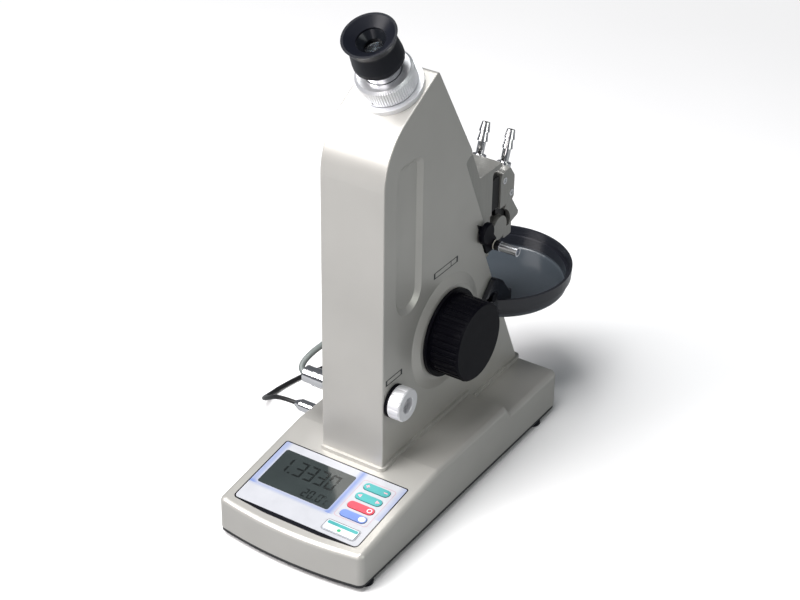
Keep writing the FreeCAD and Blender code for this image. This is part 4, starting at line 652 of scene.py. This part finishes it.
# Compensator knob with shallow flutes and a deep pocket in its face
knob = {"bore": 2.0, "chamfer": 0.8, "pocket": 5.0, "pocketDepth": 5.0, "pocketEdge": 0.3, "flutes": 14,
        "depth": 0.3, "steps": 10}
low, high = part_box("compensator_knob")
middle = (low + high) / 2
radius = (high.z - low.z) / 2 / mm
face = (high.x - middle.x) / mm
pocket, chamfer = knob["pocket"], knob["chamfer"]
knobProfile = [(knob["bore"], -face), (radius - chamfer, -face), (radius, chamfer - face), (radius, face - chamfer),
               (radius - chamfer, face), (pocket + knob["pocketEdge"], face), (pocket, face - knob["pocketEdge"]),
               (pocket, face - knob["pocketDepth"]), (knob["bore"], face - knob["pocketDepth"])]
knobMesh = groovedPiece("compensator-flutes", middle, across, knobProfile, knob["flutes"], knob["depth"], (2, 3),
                        knob["steps"])
softSilver = paint("soft turned silver", (0.80, 0.80, 0.82), 0.45, 0.42, 1200.0, 0.01 * mm)
addThing("compensator-flutes", knobMesh, softSilver, "compensator_drive", "compensator_knob")

# Blank label frames beside the two knobs: their bounds in depth and height, line and end widths, dividers
labels = {"compensator-label": (69.0, 86.5, 95.5, 99.5, 0.6, ()),
          "measuring-label": (120.0, 147.0, 143.9, 148.1, 0.55, (139.0,))}
label = {"side": 21.96, "thickness": 0.12, "ends": 1.6, "gap": 0.02}


def sidePoint(y, z, out):
    return row(label["side"] + out, y, z)


def rectangle(y0, y1, z0, z1):
    return [(y0, z0), (y1, z0), (y1, z1), (y0, z1)]


for name, (y0, y1, z0, z1, line, dividers) in labels.items():
    ends = label["ends"]
    inset = line + label["gap"]
    border = [rectangle(y0, y1, z0, z1), rectangle(y0 + ends, y1 - ends, z0 + line, z1 - line)]
    bars = [rectangle(y, y + line, z0 + inset, z1 - inset) for y in dividers]
    printed(name, bars, ink["dark"], "base", 0, label["thickness"], [border], sidePoint)
print("details added")

# Camera at the photograph's viewing angle, its turns in degrees
view = {"place": (0.55863, -0.88667, 0.75724), "azimuth": 32.857, "elevation": 31.596, "roll": 0.785,
        "lens": 90.0, "sensor": 36.0, "nearest": 0.05}


def addCamera():
    azimuth, elevation, roll = (math.radians(view[key]) for key in ("azimuth", "elevation", "roll"))
    back = Vector((math.sin(azimuth) * math.cos(elevation), -math.cos(azimuth) * math.cos(elevation),
                   math.sin(elevation)))
    right = Vector((math.cos(azimuth), math.sin(azimuth), 0))
    up = back.cross(right)
    level = right * math.cos(roll) + up * math.sin(roll)
    upright = up * math.cos(roll) - right * math.sin(roll)
    lens = bpy.data.cameras.new("camera")
    lens.lens = view["lens"]
    lens.sensor_width = view["sensor"]
    lens.clip_start = view["nearest"]
    camera = bpy.data.objects.new("camera", lens)
    bpy.context.scene.collection.objects.link(camera)
    turned = Matrix((level, upright, back)).transposed().to_4x4()
    camera.matrix_world = Matrix.Translation(Vector(view["place"])) @ turned
    bpy.context.scene.camera = camera


# Floor that looks pale to the camera and fades to white away from the part, with distances in metres
stage = {"reach": 6.0, "pale": (0.92, 0.92, 0.92), "palest": (0.95, 0.95, 0.95), "unseen": (0.32, 0.33, 0.34, 1),
         "fadeFrom": 0.5, "fadeOver": 0.7, "sky": (0.82, 0.86, 0.95, 1), "skyStrength": 0.16}


def addFloor():
    reach = stage["reach"]
    mesh = bpy.data.meshes.new("floor")
    mesh.from_pydata([(-reach, -reach, 0), (reach, -reach, 0), (reach, reach, 0), (-reach, reach, 0)], [],
                     [(0, 1, 2, 3)])
    floor = bpy.data.objects.new("floor", mesh)
    bpy.context.scene.collection.objects.link(floor)
    look = Look("pale floor", Roughness=0.9, Emission_Strength=1.0)
    seen = look.make("ShaderNodeLightPath", {}, output="Is Camera Ray")
    pale = look.colours(look.noise(3.0), stage["pale"], stage["palest"])
    x, y = look.axis("X"), look.axis("Y")
    far = (((x * x + y * y) ** 0.5 - stage["fadeFrom"]) / stage["fadeOver"]).limited() * seen
    near = look.blended(seen, stage["unseen"], pale)
    look.set(Base_Color=look.blended(far, near, black), Emission_Color=look.blended(far, black, white))
    mesh.materials.append(look.material)


# White to the camera and through glass, and a dim sky for everything else
def addWorld():
    world = bpy.data.worlds.new("studio")
    bpy.context.scene.world = world
    tree = NodeTree(world)
    tree.nodes.clear()
    camera = tree.make("ShaderNodeLightPath", {}, output="Is Camera Ray")
    seen = camera.math("MAXIMUM", tree.make("ShaderNodeLightPath", {}, output="Is Transmission Ray"))
    dim = tree.make("ShaderNodeBackground", {"Color": stage["sky"], "Strength": stage["skyStrength"]})
    bright = tree.make("ShaderNodeBackground", {"Color": white, "Strength": 1.0})
    mix = tree.make("ShaderNodeMixShader", {0: seen, 1: dim, 2: bright})
    tree.make("ShaderNodeOutputWorld", {0: mix})


# Lamps: place, target, size in metres, power in watts and colour
lamps = {"left window": ((-0.6, -0.85, 0.95), (0, -0.05, 0.25), 0.7, 15.5, (1.0, 0.97, 0.97)),
         "top front": ((-0.25, -0.4, 1.5), (0, 0, 0.15), 0.9, 25.0, (1.0, 1.0, 1.0)),
         "front fill": ((0.2, -1.6, 0.6), (0, 0, 0.12), 0.8, 7.0, (1.0, 0.94, 0.94)),
         "right fill": ((1.5, -0.1, 0.6), (0, 0, 0.12), 0.9, 5.5, (0.96, 1.0, 0.94))}


def addLamp(name, place, target, size, power, colour):
    data = bpy.data.lights.new(name, "AREA")
    data.size = size
    data.energy = power
    data.color = colour
    light = bpy.data.objects.new(name, data)
    bpy.context.scene.collection.objects.link(light)
    light.location = place
    light.rotation_euler = (Vector(target) - Vector(place)).to_track_quat("-Z", "Y").to_euler()


addCamera()
addFloor()
addWorld()
for name, settings in lamps.items():
    addLamp(name, *settings)
bpy.context.scene.view_settings.view_transform = "Standard"
print("stage built")
